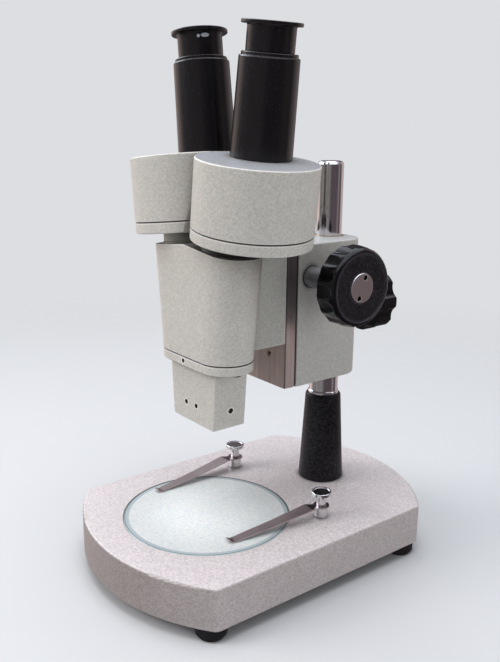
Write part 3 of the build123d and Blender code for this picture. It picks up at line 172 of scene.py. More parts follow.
class Material(Graph):
    """A Principled material whose textures use object coordinates."""

    SOCKETS = {
        "color": "Base Color", "metallic": "Metallic", "rough": "Roughness", "ior": "IOR",
        "normal": "Normal", "spec": "Specular IOR Level", "spec_tint": "Specular Tint",
        "coat": "Coat Weight", "coat_rough": "Coat Roughness", "coat_tint": "Coat Tint",
        "transmission": "Transmission Weight", "subsurface": "Subsurface Weight",
        "subsurface_radius": "Subsurface Radius", "subsurface_scale": "Subsurface Scale",
    }

    def __init__(self, name):
        self.material = bpy.data.materials.new(name)
        self.material.use_nodes = True
        super().__init__(self.material.node_tree)
        self.output = self.node("ShaderNodeOutputMaterial")
        self.shader = self.node("ShaderNodeBsdfPrincipled")
        self.put(self.output.inputs["Surface"], self.shader.outputs["BSDF"])
        self.position = self.node("ShaderNodeTexCoord").outputs["Object"]

    def finish(self, **values):
        """Set the shader's inputs and return the material."""
        for key, value in values.items():
            self.put(self.shader.inputs[self.SOCKETS[key]], value)
        return self.material

    # coordinates
    def stretch(self, *scale):
        return self.node("ShaderNodeMapping", {"Vector": self.position, "Scale": scale}).outputs[0]

    def local(self, origin, axis):
        """Position with the origin on an axis and z along it."""
        turn = Vector(axis).normalized().rotation_difference(Vector(Z_AXIS)).to_matrix()
        return self.node("ShaderNodeMapping", {
            "Vector": self.position,
            "Rotation": turn.to_euler("XYZ"),
            "Location": -(turn @ Vector(origin)),
        }).outputs[0]

    def polar(self, origin, axis):
        """(radius, angle in turns, height) round an axis."""
        x, y, z = self.split(self.local(origin, axis))
        radius = self.hypot(x, y)
        turn = self.mul(self.math("ARCTAN2", y, x), 1 / (2 * math.pi))
        return radius, turn, z

    def facing(self):
        """The true normal in the object's own frame, as x, y, z."""
        normal = self.node("ShaderNodeNewGeometry").outputs["True Normal"]
        return self.split(self.node("ShaderNodeVectorTransform", {0: normal},
                                    vector_type="NORMAL", convert_from="WORLD",
                                    convert_to="OBJECT").outputs[0])

    # textures
    def noise(self, size, detail=2.0, rough=0.5, distortion=0.0, at=None):
        return self.node("ShaderNodeTexNoise", {
            "Vector": self.position if at is None else at,
            "Scale": 1 / size,
            "Detail": detail,
            "Roughness": rough,
            "Distortion": distortion,
        }).outputs[0]

    def streaks(self, sizes, detail=3.0, rough=0.6):
        """Noise with its own size along x, y and z."""
        at = self.stretch(*(1 / size for size in sizes))
        return self.noise(1.0, detail, rough, at=at)

    def rings(self, pitch, radius, turn, height):
        """Lathe rings on the faces and sides of a turned part."""
        at = self.join(self.mul(radius, 1 / pitch), self.mul(turn, 3.0),
                       self.mul(height, 1 / pitch))
        return self.noise(1.0, detail=3.0, rough=0.6, at=at)

    def voronoi(self, size, at=None):
        return self.node("ShaderNodeTexVoronoi", {
            "Vector": self.position if at is None else at,
            "Scale": 1 / size,
        }).outputs

    def cells(self, size, at=None):
        """A random value for each cell."""
        return self.split(self.voronoi(size, at)["Color"])[0]

    def dots(self, size, zero_at, one_at):
        """A dot in each cell; its limits are distances in cells."""
        return self.mask(self.voronoi(size)["Distance"], zero_at, one_at)

    # shape
    def bevel(self, radius):
        return self.node("ShaderNodeBevel", {"Radius": radius}, samples=6).outputs[0]

    def edge(self, radius, zero_at=0.04, one_at=0.5):
        """0 on flat ground, towards 1 close to a sharp edge."""
        rounded = self.bevel(radius)
        normal = self.node("ShaderNodeNewGeometry").outputs["Normal"]
        match = self.node("ShaderNodeVectorMath", {0: rounded, 1: normal},
                          operation="DOT_PRODUCT").outputs[1]
        return self.mask(self.sub(1.0, match), zero_at, one_at)

    def open_sky(self, distance, samples=6):
        """1 on open ground, towards 0 inside holes and corners."""
        return self.node("ShaderNodeAmbientOcclusion", {"Distance": distance},
                         samples=samples).outputs["AO"]

    def relief(self, height, depth, strength=0.8, bevel=None):
        """Bumps, over edges rounded by the bevel."""
        inputs = {"Height": height, "Distance": depth, "Strength": strength}
        if bevel is not None:
            inputs["Normal"] = self.bevel(bevel)
        return self.node("ShaderNodeBump", inputs).outputs[0]


def dress(material, *parts):
    for part in parts:
        slots = NODES[part].data.materials
        slots.clear()
        slots.append(material)


# ---------------------------------------------------------------- enamel
PAINT = linear(191, 188, 182)
PAINT_OTHER = linear(189, 189, 183)
# painted light: a darker, bluer paint for faces turned up, set against the strong top light
PAINT_TOP = linear(158, 160, 165)
SEAM_HALF = 0.00042  # half the width of a dark seam


def painted_highlight_lines(mat, color, bright, lines):
    """Narrow painted highlight lines: between two radii and two heights round an axis."""
    for origin, axis, inner, outer, bottom, top in lines:
        radius, _, height = mat.polar(origin, axis)
        line = mat.mul(
            mat.band(radius, (inner, inner + 0.0002), (outer + 0.0002, outer)),
            mat.band(height, (bottom - 0.0001, bottom), (top + 0.0001, top)))
        color = mat.tint(color, bright, line, amount=0.50)
    return color


def painted_highlight_rims(mat, color, bright, rims):
    """Painted highlight rims round holes in faces turned to y or x."""
    x, y, z = mat.split(mat.position)
    normal_x, normal_y = mat.facing()[0:2]
    for face, across, height, radius in rims:
        along, normal = (x, normal_y) if face == "y" else (y, normal_x)
        away = mat.hypot(mat.sub(along, across), mat.sub(z, height))
        rim = mat.mul(
            mat.band(away, (radius - 0.0002, radius), (radius + 0.00055, radius + 0.00030)),
            mat.mask(mat.math("ABSOLUTE", normal), 0.4, 0.8))
        color = mat.tint(color, bright, rim, amount=0.85)
    return color


def dark_seam(mat, color, paint, origin, axis, height):
    """A dark joint at a height along an axis, with a painted highlight on the lip under it."""
    along = mat.split(mat.local(origin, axis))[2]
    gap = mat.mask(mat.math("ABSOLUTE", mat.sub(along, height)), SEAM_HALF, SEAM_HALF * 0.55)
    color = mat.tint(color, (0.018, 0.016, 0.015), gap, amount=0.88)
    # painted highlight on the lip
    from_lip = mat.math("ABSOLUTE", mat.sub(along, height - SEAM_HALF * 1.7))
    lip = mat.mask(from_lip, SEAM_HALF * 0.8, SEAM_HALF * 0.3)
    return mat.tint(color, gain(paint, 1.5, limit=0.95), lip, amount=0.45)


def enamel(name, paint=PAINT, other=PAINT_OTHER, top=PAINT_TOP, right=None, grain=0.00055,
           contrast=0.17, rough=0.42, depth=0.00003, shade=None, reach=(0.20, 0.85),
           seam=None, lines=(), rims=()):
    """Stove enamel: light and dark flecks, pin holes, painted highlights on edges, painted shade
    in corners.

    other is mottled into the paint; top and right replace it on faces turned to +Z and +X, as
    painted light and shade by facing.
    shade is how far broad shadows spread, and reach the openness they run between.
    """
    mat = Material(name)
    fine = mat.noise(grain, rough=0.8)
    fleck = mat.cells(grain * 1.25)
    coarse_fleck = mat.cells(grain * 1.9, at=mat.stretch(1.07, 0.93, 1.0))
    pits = mat.dots(grain * 2.6, 0.20, 0.10)
    soft = mat.noise(0.022, detail=3.0)

    mottle = mat.mask(mat.noise(grain * 1.5, detail=1.0), 0.40, 0.60)
    color = mat.tint(paint, other, mottle, amount=0.7)
    # painted light and shade: the paint is swapped by which way a face turns, on +X and +Z faces
    if right is not None:
        color = mat.tint(color, right, mat.mask(mat.facing()[0], 0.3, 0.9))
    color = mat.tint(color, top, mat.mask(mat.facing()[2], 0.55, 0.95))
    color = mat.vary(color, (fine, contrast * 2.2), (fleck, contrast * 1.3),
                     (coarse_fleck, contrast * 0.5), (soft, 0.03))
    color = mat.tint(color, gain(paint, 0.45), pits, amount=0.35)

    # painted highlight along edges
    edge = mat.edge(0.0014, 0.02, 0.17)
    color = mat.tint(color, gain(paint, 1.65, limit=0.95), edge, amount=0.70)
    # painted highlight lines and rims, in a paler paint
    bright = gain(paint, 1.75, limit=0.97)
    color = painted_highlight_lines(mat, color, bright, lines)
    if rims:
        color = painted_highlight_rims(mat, color, bright, rims)

    # painted shade in corners and recesses
    painted_shade = mat.mask(mat.open_sky(0.0030), 0.45, 0.95, to=(0.35, 1.0))
    if shade:
        # painted broad warm shadow in recesses, painted shade on undersides
        deep = mat.mask(mat.open_sky(shade, samples=8), *reach, to=(0.30, 1.0))
        painted_shade = mat.mul(painted_shade, deep)
        warm = tuple(channel * keep for channel, keep in zip(paint, (0.95, 0.78, 0.66)))
        color = mat.tint(color, warm, mat.mask(deep, 0.9, 0.3, to=(0.0, 0.45)))
        painted_shade = mat.mul(painted_shade, mat.mask(mat.facing()[2], -0.9, -0.6, to=(0.40, 1.0)))
    color = mat.scaled(color, painted_shade)
    if seam:
        color = dark_seam(mat, color, paint, *seam)

    height = mat.sub(mat.weighted((fine, 0.6), (fleck, 0.3)), mat.mul(pits, 0.3))
    return mat.finish(
        color=color,
        rough=mat.add(mat.mul(soft, 0.08), mat.weighted((coarse_fleck, 0.08), start=rough - 0.08)),
        spec=0.45,
        normal=mat.relief(height, depth, strength=0.9, bevel=0.0004),
        coat=0.12,
        coat_rough=0.22)


# painted highlight rims round holes: axis the face is turned to, place across it, z, radius
HEAD_RIMS = (
    ("y", -0.0064, 0.0676, 0.00145),
    ("y", 0.0032, 0.0676, 0.00145),
    ("x", 0.0022, 0.0674, 0.0016),
)
OVAL_RIMS = (("y", -0.0010, 0.0934, 0.00125),)
DRUM_SEAM = 0.1663  # along the optical axis
OVAL_SEAM = 0.1263 + TABLE_Z


def drum_highlight_lines(side):
    """Painted highlight lines of one drum: origin, axis, inner and outer radius, bottom and top.
    """
    drum = (DRUM_START[side], AXIS_DIR[side])
    tube = (TUBE_START[side], AXIS_DIR[side])
    return (
        (*drum, 0.0306, 0.0330, 0.2006, 0.2012),
        (*drum, 0.0306, 0.0330, 0.1600, 0.1605),
        (*tube, 0.0150, 0.01685, 0.2004, 0.2040),
    )


dress(enamel("head_enamel", shade=0.012, rims=HEAD_RIMS), "objective_block")
# arm and bracket get a darker paint as painted shade under the head; the arm's top is paler as
# painted light
dress(enamel("arm_enamel", paint=linear(173, 170, 166), other=linear(170, 171, 165),
             top=linear(186, 187, 188), shade=0.005), "arm_housing")
dress(enamel("bracket_enamel", paint=linear(165, 163, 158), other=linear(162, 163, 157),
             shade=0.012), "head_bracket")
for word, side in SIDES:
    dress(enamel("drum_enamel_" + word, seam=(AXIS_START, AXIS_DIR[side], DRUM_SEAM),
                 shade=0.012, lines=drum_highlight_lines(side)),
          "prism_cover_" + word, "prism_housing_" + word)
dress(enamel("oval_enamel", seam=((0, 0, 0), Z_AXIS, OVAL_SEAM), shade=0.040,
             reach=(0.60, 1.0), rims=OVAL_RIMS), "objective_housing", "housing_ring")
# base: darker paint on its sides, paler on top and on +X faces, as painted light and shade
dress(enamel("base_enamel", paint=linear(149, 140, 139), other=linear(150, 144, 140),
             top=linear(206, 199, 201), right=linear(176, 168, 167), grain=0.00062,
             contrast=0.23, rough=0.46, depth=0.00004), "base_casting")


# ---------------------------------------------------------------- stage glass
# rings at the edge of the plate: inner radius, outer radius, amount, colour
GLASS_RINGS = (
    (0.04440, 0.04480, 0.55, linear(150, 168, 170)),
    (0.04480, 0.04640, 0.85, linear(168, 182, 190)),
    (0.04640, 0.04705, 0.90, linear(84, 112, 112)),
    (0.04705, 0.0480, 0.80, linear(172, 194, 198)),
)
RING_BLUR = 0.00012


def frosted_glass():
    """Ground glass: cloudy, finely grained, with a clear polished edge that shows green."""
    mat = Material("frosted_stage_glass")
    radius = mat.polar((0, 0, 0), Z_AXIS)[0]
    cloud = mat.noise(0.024, detail=4.0, rough=0.6)
    curd = mat.noise(0.0018, detail=4.0, rough=0.65, distortion=0.6)
    frost = mat.noise(0.0007, rough=0.7)
    smear = mat.streaks((0.003, 0.020, 1.0), rough=0.5)

    color = mat.tint(linear(220, 229, 233), linear(242, 244, 242), mat.mask(curd, 0.38, 0.60))
    color = mat.vary(color, (cloud, 0.11), (frost, 0.24), (smear, 0.08))
    # painted light: brighter towards the centre, darker towards the rim
    color = mat.scaled(color, mat.mask(radius, 0.010, 0.046, to=(1.10, 0.81), smooth=True))
    for inner, outer, amount, ring_color in GLASS_RINGS:
        ring = mat.mul(
            mat.mask(radius, inner - RING_BLUR, inner + RING_BLUR),
            mat.mask(radius, outer - RING_BLUR, outer + RING_BLUR, to=(1.0, 0.0)))
        color = mat.tint(color, ring_color, ring, amount)

    polished = mat.mask(radius, 0.0443, 0.0446)
    ground_rough = mat.add(0.27, mat.weighted((cloud, 0.14), (frost, 0.14)))
    edge_rough = mat.weighted((frost, 0.06), start=0.08)
    return mat.finish(
        color=color,
        rough=mat.tint(ground_rough, edge_rough, polished),
        spec=0.5,
        subsurface=0.30,
        subsurface_scale=0.004,
        subsurface_radius=(0.8, 1.0, 1.0),
        normal=mat.relief(mat.weighted((frost, 0.6), (curd, 0.4)), 0.000012, bevel=0.0004),
        coat=0.25,
        coat_rough=0.12)


dress(frosted_glass(), "stage_plate")

# ---------------------------------------------------------------- tubes
TUBE_GIRTH = 0.096  # length of one turn, for the grain
MARK_RADIUS = 0.012
MARK_TURN = -0.070
MARK_HEIGHT = 0.2607
# dabs of the mark: place across, place up, half width, half height
MARK_DABS = (
    (-0.0026, -0.0002, 0.0008, 0.0008),
    (0.0009, 0.0001, 0.0022, 0.0010),
)


def paint_mark(mat, turn, height):
    """Mask of two small ragged dabs of paint."""
    across = mat.mul(mat.sub(turn, MARK_TURN), 2 * math.pi * MARK_RADIUS)
    up = mat.sub(height, MARK_HEIGHT)
    ragged = mat.mul(mat.sub(mat.noise(0.0008), 0.5), 0.0012)
    dabs = []
    for dab_across, dab_up, half_width, half_height in MARK_DABS:
        away = mat.hypot(mat.math("DIVIDE", mat.sub(across, dab_across), half_width),
                         mat.math("DIVIDE", mat.sub(up, dab_up), half_height))
        dabs.append(mat.mask(mat.add(away, mat.mul(ragged, 500.0)), 1.15, 0.85))
    return mat.math("MAXIMUM", *dabs)


def lacquer(name, side, color, rough, marked=False):
    """Black lacquered tube: drawn grain along its length, painted highlights at its steps."""
    mat = Material(name)
    radius, turn, height = mat.polar(TUBE_START[side], AXIS_DIR[side])
    around = mat.mul(turn, TUBE_GIRTH)

    def drawn(width, length, detail, rough):
        at = mat.join(mat.mul(around, 1 / width), mat.mul(height, 1 / length),
                      mat.mul(radius, 1 / 0.004))
        return mat.noise(1.0, detail, rough, at=at)

    fine = drawn(width=0.00030, length=0.040, detail=3.0, rough=0.65)
    broad = drawn(width=0.0016, length=0.090, detail=2.0, rough=0.5)
    weave = mat.noise(0.00055, rough=0.6)
    soft = mat.noise(0.012, detail=4.0, rough=0.6)

    color = mat.vary(color, (fine, 0.6), (broad, 0.6), (soft, 0.3), (weave, 1.2))
    dust = mat.mul(mat.dots(0.0013, 0.17, 0.08), mat.mask(mat.cells(0.0013), 0.55, 0.70))
    color = mat.tint(color, (0.22, 0.21, 0.23), dust, amount=0.22)
    # painted highlight along edges and steps
    color = mat.tint(color, (0.15, 0.14, 0.13), mat.edge(0.0006), amount=0.8)
    if marked:
        mark = paint_mark(mat, turn, height)
        color = mat.tint(color, (0.62, 0.66, 0.74), mark, amount=0.85)
    uneven = mat.add(mat.mul(fine, 0.14), mat.weighted((soft, 0.08), (weave, 0.08)))
    bumps = mat.weighted((fine, 0.6), (broad, 0.3), (weave, 0.5))
    return mat.finish(
        color=color,
        rough=mat.add(rough - 0.09, uneven),
        spec=0.48,
        spec_tint=(1.0, 0.93, 0.92),
        normal=mat.relief(bumps, 0.000018, strength=0.9, bevel=0.0003))


for word, side in SIDES:
    dress(lacquer("tube_lacquer_" + word, side, color=(0.0046, 0.0041, 0.0052), rough=0.22),
          "eyepiece_tube_" + word)
    dress(lacquer("eyepiece_lacquer_" + word, side, color=(0.0040, 0.0036, 0.0048),
                  rough=0.20, marked=side < 0), "eyepiece_body_" + word)


# ---------------------------------------------------------------- black parts
def plastic(name, color, rough, grain, depth, contrast, spec=0.5, edge_gain=0.25, fleck=0.3):
    """Moulded or painted black: slight orange peel, handling marks, lighter edges that are partly
    wear and partly painted highlight.
    """
    mat = Material(name)
    peel = mat.noise(grain)
    soft = mat.noise(0.01, detail=4.0, rough=0.6)
    specks = mat.dots(0.0011, 0.10, 0.05)
    shaded = mat.vary(color, (peel, contrast * 0.5), (soft, contrast * 0.6),
                      (mat.cells(grain * 1.3), fleck))
    shaded = mat.not_negative(shaded)
    shaded = mat.tint(shaded, (0.25, 0.24, 0.23), specks, amount=0.06)
    # lighter edges: partly wear, partly painted highlight
    edge = mat.edge(0.0009, 0.02, 0.20)
    shaded = mat.tint(shaded, gain(color, 2.2, lift=0.045), edge, amount=edge_gain)
    return mat.finish(
        color=shaded,
        rough=mat.add(rough - 0.06, mat.weighted((soft, 0.10), (peel, 0.05))),
        spec=spec,
        coat_rough=0.12,
        normal=mat.relief(peel, depth, bevel=0.0004))


def knob(name, face_radius=None):
    """Moulded black knob: polished grip, painted highlights on its ridges, and if it has a face
    of the given radius, that is speckled and matt with a painted highlight line round it."""
    mat = Material(name)
    peel = mat.noise(0.0006)
    soft = mat.noise(0.008, detail=4.0, rough=0.6)
    specks = mat.dots(0.0011, 0.10, 0.05)
    color = mat.vary((0.0026, 0.0024, 0.0033), (peel, 0.6), (soft, 0.8))
    rough = mat.add(0.09, mat.weighted((soft, 0.08), (peel, 0.03)))
    if face_radius:
        radius = mat.polar(SHAFT, X_AXIS)[0]
        face = mat.mul(mat.mask(radius, face_radius + 0.0001, face_radius - 0.0001),
                       mat.mask(mat.math("ABSOLUTE", mat.facing()[0]), 0.6, 0.9))
        plate = mat.vary((0.0096, 0.0080, 0.0108), (peel, 2.2), (soft, 0.3),
                         (mat.cells(0.0006), 3.2))
        color = mat.tint(color, mat.not_negative(plate), face)
        rough = mat.add(rough, mat.mul(face, 0.14))
    color = mat.tint(color, (0.25, 0.24, 0.26), specks, amount=0.05)
    # painted highlight on ridges and edges
    edge = mat.edge(0.0008, 0.012, 0.11)
    color = mat.tint(color, (0.120, 0.112, 0.145), edge, amount=0.95)
    # painted shade in flutes and recesses
    color = mat.scaled(color, mat.mask(mat.open_sky(0.0020), 0.4, 0.95, to=(0.3, 1.0)))
    if face_radius:
        # painted highlight line round the face
        line = mat.band(radius, (face_radius - 0.0001, face_radius),
                        (face_radius + 0.0006, face_radius + 0.0004))
        line = mat.mul(line, mat.mask(mat.math("ABSOLUTE", mat.facing()[0]), 0.5, 0.8))
        color = mat.tint(color, (0.050, 0.050, 0.056), line, amount=0.75)
    return mat.finish(
        color=color,
        rough=rough,
        spec=0.30,
        coat=0.10,
        coat_rough=0.08,
        normal=mat.relief(peel, 0.000010, bevel=0.0004))


dress(plastic("sleeve_satin_black", color=(0.0088, 0.0080, 0.0104), rough=0.42, grain=0.0006,
              depth=0.000030, spec=0.22, contrast=1.2, fleck=2.6), "pillar_sleeve")
dress(knob("knob_phenolic", face_radius=0.0178), "knob_right", "knob_left")
dress(knob("clamp_knob_phenolic"), "clamp_knob")
dress(plastic("foot_rubber", color=(0.012, 0.0105, 0.013), rough=0.62, grain=0.0006,
              depth=0.00004, spec=0.35, contrast=0.5), "rubber_feet")
dress(plastic("cell_anodised", color=(0.008, 0.008, 0.009), rough=0.40, grain=0.0004,
              depth=0.000006, contrast=0.3), "objective_cells")
dress(plastic("screw_blackened", color=(0.012, 0.011, 0.012), rough=0.32, grain=0.0005,
              depth=0.000006, contrast=0.4, edge_gain=0.5), "gib_screws", "bracket_screws")


# ---------------------------------------------------------------- metals
def chrome(name, color, rough, band, streak=0.0):
    """Polished plate: fine upright bands, optional broad streaks, pits and level scratches."""
    mat = Material(name)
    fine = mat.streaks((0.0003, 0.0003, 0.02))
    broad = mat.streaks((0.0016, 0.0016, 0.09))
    soft = mat.noise(0.015, detail=4.0, rough=0.6)
    scratch = mat.streaks((0.010, 0.010, 0.00025), detail=2.0)
    pits = mat.dots(0.0016, 0.09, 0.04)
    shaded = mat.vary(color, (fine, band + streak), (broad, streak * 1.6), (soft, 0.08))
    shaded = mat.tint(shaded, (0.16, 0.14, 0.13), pits, amount=0.35)
    shaded = mat.tint(shaded, gain(color, 1.35, limit=1.0), mat.mask(scratch, 0.66, 0.74),
                      amount=0.30)
    bumps = mat.add(fine, mat.mul(broad, 2.0 if streak else 0.0))
    return mat.finish(
        color=shaded,
        metallic=1.0,
        rough=mat.add(rough, mat.weighted((fine, 0.06), (soft, 0.05))),
        normal=mat.relief(bumps, 0.0000018, strength=0.6, bevel=0.0003))


def brushed(name, color, rough, direction, length=0.03, width=0.00018, contrast=0.22,
            edge_gain=0.35):
    """Metal with straight grain along x, y or z."""
    mat = Material(name)
    sizes = [length if axis == direction else width for axis in "xyz"]
    fine = mat.streaks(sizes)
    broad = mat.streaks([size * 7 for size in sizes], detail=2.0, rough=0.5)
    soft = mat.noise(0.009, detail=3.0, rough=0.6)
    shaded = mat.vary(color, (fine, contrast), (broad, contrast * 0.7), (soft, 0.10))
    # painted highlight along edges
    shaded = mat.tint(shaded, gain(color, 1.6, lift=0.05, limit=1.0), mat.edge(0.0005),
                      amount=edge_gain)
    return mat.finish(
        color=shaded,
        metallic=1.0,
        rough=mat.weighted((fine, 0.12), (soft, 0.06), start=rough - 0.06),
        normal=mat.relief(mat.weighted((fine, 0.6), (broad, 0.4)), 0.000004, bevel=0.0002))


def slide_metal():
    """Milled steel slide: coarse upright streaks; its side faces carry a painted shadow, darker
    and bluer towards the top, and painted shade near their -Y and +Y edges."""
    mat = Material("slide_steel")
    x, y, z = mat.split(mat.position)
    fine = mat.streaks((0.0007, 0.0007, 0.030), rough=0.65)
    broad = mat.streaks((0.0024, 0.0024, 0.060), detail=2.0, rough=0.5)
    soft = mat.noise(0.010, detail=4.0, rough=0.6)
    grain = mat.noise(0.0005)
    # the steel's brown tint is a painted reflection of warm surroundings
    color = mat.tint((0.47, 0.37, 0.335), (0.37, 0.31, 0.30), mat.mask(soft, 0.35, 0.70))
    color = mat.vary(color, (fine, 0.75), (broad, 0.5), (soft, 0.25), (grain, 0.20))

    # painted shadow from the drum above: darker towards the top
    ragged_z = mat.add(z, mat.mul(mat.sub(soft, 0.5), 0.012))
    drum_shadow = mat.mask(ragged_z, 0.098, 0.121, to=(1.0, 0.38), smooth=True)
    # painted shade in the gaps along the -Y and +Y edges of the side faces
    front = mat.mask(y, 0.0384, 0.0390, to=(0.30, 1.0))
    rear = mat.mask(y, 0.0448, 0.0453, to=(1.0, 0.25))
    side = mat.mask(mat.math("ABSOLUTE", x), 0.0209, 0.0213)
    keep = mat.mul(mat.mul(mat.mul(front, rear), drum_shadow), 1.02)
    color = mat.scaled(color, mat.add(1.0, mat.mul(side, mat.sub(keep, 1.0))))
    # the painted shadow turns bluer towards the top
    shadow_blue = mat.mul(side, mat.mask(drum_shadow, 0.9, 0.4, to=(0.0, 0.45)))
    color = mat.tint(color, (0.020, 0.022, 0.034), shadow_blue)
    # painted highlight along edges
    color = mat.tint(color, (0.5, 0.46, 0.44), mat.edge(0.0004), amount=0.25)
    return mat.finish(
        color=color,
        metallic=0.35,
        rough=mat.weighted((fine, 0.16), start=0.32),
        normal=mat.relief(mat.weighted((fine, 0.6), (broad, 0.4)), 0.00001, bevel=0.0002))


def cap_holes(mat, color, metal, radius):
    """Painted highlights on the outer rim and as a pale crescent at each of two holes; painted
    shade darkens the holes.
    """
    y, z = mat.split(mat.position)[1:3]
    pale = gain(metal, 1.9, lift=0.1, limit=1.0)
    color = mat.tint(color, pale, mat.mask(radius, 0.00735, 0.00755), amount=0.8)
    hole_y, hole_z = 0.001915, 0.005262  # from the shaft; the other hole is opposite
    for sign in (1.0, -1.0):
        from_y = mat.sub(y, SHAFT.y + sign * hole_y)
        from_z = mat.sub(z, SHAFT.z + sign * hole_z)
        away = mat.hypot(from_y, from_z)
        rim = mat.band(away, (0.00125, 0.00132), (0.00185, 0.00160))
        crescent = mat.mul(rim, mat.mask(mat.sub(from_y, from_z), -0.0004, 0.0008))
        color = mat.tint(color, pale, crescent, amount=0.9)
    # painted shade inside the holes and recesses
    openness = mat.open_sky(0.0025, samples=8)
    return mat.scaled(color, mat.mask(openness, 0.55, 0.95, to=(0.02, 1.0)))


def turned(name, color, rough, contrast, metallic=1.0, holes=False):
    """Metal turned on a lathe: fine rings round the focus shaft's axis."""
    mat = Material(name)
    radius, turn, height = mat.polar(SHAFT, X_AXIS)
    ring = mat.rings(0.00022, radius, turn, height)
    soft = mat.noise(0.007, detail=3.0)
    shaded = mat.vary(color, (ring, contrast), (soft, 0.12))
    # painted highlight along edges
    edge = mat.edge(0.0009 if holes else 0.0005)
    pale = gain(color, 1.7 if holes else 1.5, lift=0.05, limit=1.0)
    shaded = mat.tint(shaded, pale, edge, amount=0.85 if holes else 0.7)
    if holes:
        shaded = cap_holes(mat, shaded, color, radius)
    return mat.finish(
        color=shaded,
        metallic=metallic,
        rough=mat.weighted((ring, 0.12), start=rough - 0.05),
        normal=mat.relief(ring, 0.000006, bevel=0.00025))


def neck(name, side, brightness):
    """Turned neck metal, with painted shade where it is enclosed."""
    mat = Material(name)
    ring = mat.rings(0.0003, *mat.polar(AXIS_START, AXIS_DIR[side]))
    soft = mat.noise(0.006, detail=3.0)
    color = mat.vary(gain((0.38, 0.38, 0.33), brightness), (ring, 0.35), (soft, 0.25))
    openness = mat.open_sky(0.010, samples=8)
    return mat.finish(
        color=mat.scaled(color, mat.mask(openness, 0.15, 0.75, to=(0.12, 1.0))),
        metallic=0.35,
        rough=mat.weighted((ring, 0.12), start=0.42),
        normal=mat.relief(ring, 0.000008, bevel=0.0003))


dress(chrome("pillar_chrome", color=(0.66, 0.63, 0.64), rough=0.06, band=0.15, streak=0.45),
      "pillar", "stop_collar")
dress(chrome("clip_chrome", color=(0.70, 0.69, 0.69), rough=0.10, band=0.10),
      "clip_posts", "clip_bosses")
# the steel's brown tint is a painted reflection of warm surroundings
dress(brushed("spring_steel", color=(0.43, 0.355, 0.35), rough=0.27, direction="y",
              length=0.02, width=0.00025, contrast=0.35, edge_gain=0.75),
      "clip_arm_right", "clip_arm_left", "prism_clamps_right", "prism_clamps_left")
dress(slide_metal(), "focus_slide")
dress(brushed("shaft_steel", color=(0.42, 0.41, 0.40), rough=0.28, direction="x"),
      "focus_shaft")
dress(turned("bushing_grey_steel", color=(0.30, 0.30, 0.315), rough=0.34, contrast=0.35,
             metallic=0.7), "shaft_bushings")
dress(turned("knob_cap_metal", color=(0.62, 0.54, 0.535), rough=0.34, contrast=0.55,
             holes=True), "knob_caps")
dress(brushed("set_screw_steel", color=(0.42, 0.40, 0.38), rough=0.24, direction="x",
              length=0.0012, width=0.0003, contrast=0.5, edge_gain=0.7),
      "ring_screws", "block_screws")
dress(brushed("tarnished_brass_screw", color=(0.42, 0.33, 0.22), rough=0.26, direction="x",
              length=0.0012, width=0.0003, contrast=0.5, edge_gain=0.7),
      "slide_screws", "stop_screws")
dress(brushed("zinc_plate", color=(0.50, 0.50, 0.49), rough=0.35, direction="x",
              length=0.002, width=0.0004, contrast=0.15),
      "foot_screws", "pillar_bolt", "pillar_washer", "clamp_stud")
dress(brushed("machined_brass", color=(0.62, 0.46, 0.20), rough=0.32, direction="z",
              length=0.01, width=0.0003, contrast=0.15),
      "arm_bushing", "clamp_pad", "gib_strip", "pinion", "rack",
      "sync_gear_right", "sync_gear_left")
dress(brushed("milled_aluminium", color=(0.60, 0.60, 0.61), rough=0.36, direction="y",
              length=0.015, width=0.0004, contrast=0.12),
      "prism_plate_right", "prism_plate_left")
# the right neck is darkened as painted shade under its drum, the left lightened as painted light
dress(neck("neck_metal_right", +1, brightness=0.30), "neck_right")
dress(neck("neck_metal_left", -1, brightness=1.5), "neck_left")


# ---------------------------------------------------------------- lenses
def coated_glass():
    """Clear coated glass with a little dust."""
    mat = Material("coated_glass")
    dust = mat.dots(0.0016, 0.07, 0.03)
    soft = mat.noise(0.006, detail=3.0)
    return mat.finish(
        color=mat.tint((0.86, 0.90, 0.96), (0.6, 0.6, 0.6), dust, amount=0.3),
        transmission=0.92,
        ior=1.52,
        rough=mat.add(0.01, mat.weighted((soft, 0.03), (dust, 0.2))),
        coat=0.6,
        coat_rough=0.03,
        coat_tint=(0.75, 0.70, 1.0),
        normal=mat.relief(soft, 0.000001, strength=0.3))


dress(coated_glass(), "objective_lenses", "prisms_right", "prisms_left",
      "eyepiece_lenses_right", "eyepiece_lenses_left")

# ---------------------------------------------------------------- floor
FLOOR_RADIUS = 1.0
FLOOR_Y = 0.035  # centre of the disc
FLOOR_SEGMENTS = 64
FADE_START, FADE_END = 0.22, 0.80  # distances from the origin


def floor_paper():
    """Pale paper that fades out with distance."""
    mat = Material("floor_paper")
    away = mat.node("ShaderNodeVectorMath", {0: mat.position}, operation="LENGTH").outputs[1]
    grain = mat.noise(0.0009, detail=3.0, rough=0.6)
    soft = mat.noise(0.25)
    mat.finish(
        color=mat.vary(linear(200, 202, 205), (grain, 0.02), (soft, 0.02)),
        rough=0.80,
        spec=0.25,
        normal=mat.relief(grain, 0.00001, strength=0.4))
    faded = mat.node("ShaderNodeMixShader", {
        0: mat.mask(away, FADE_START, FADE_END, smooth=True),
        1: mat.shader.outputs[0],
        2: mat.node("ShaderNodeBsdfTransparent").outputs[0],
    })
    mat.put(mat.output.inputs["Surface"], faded.outputs[0])
    return mat.material


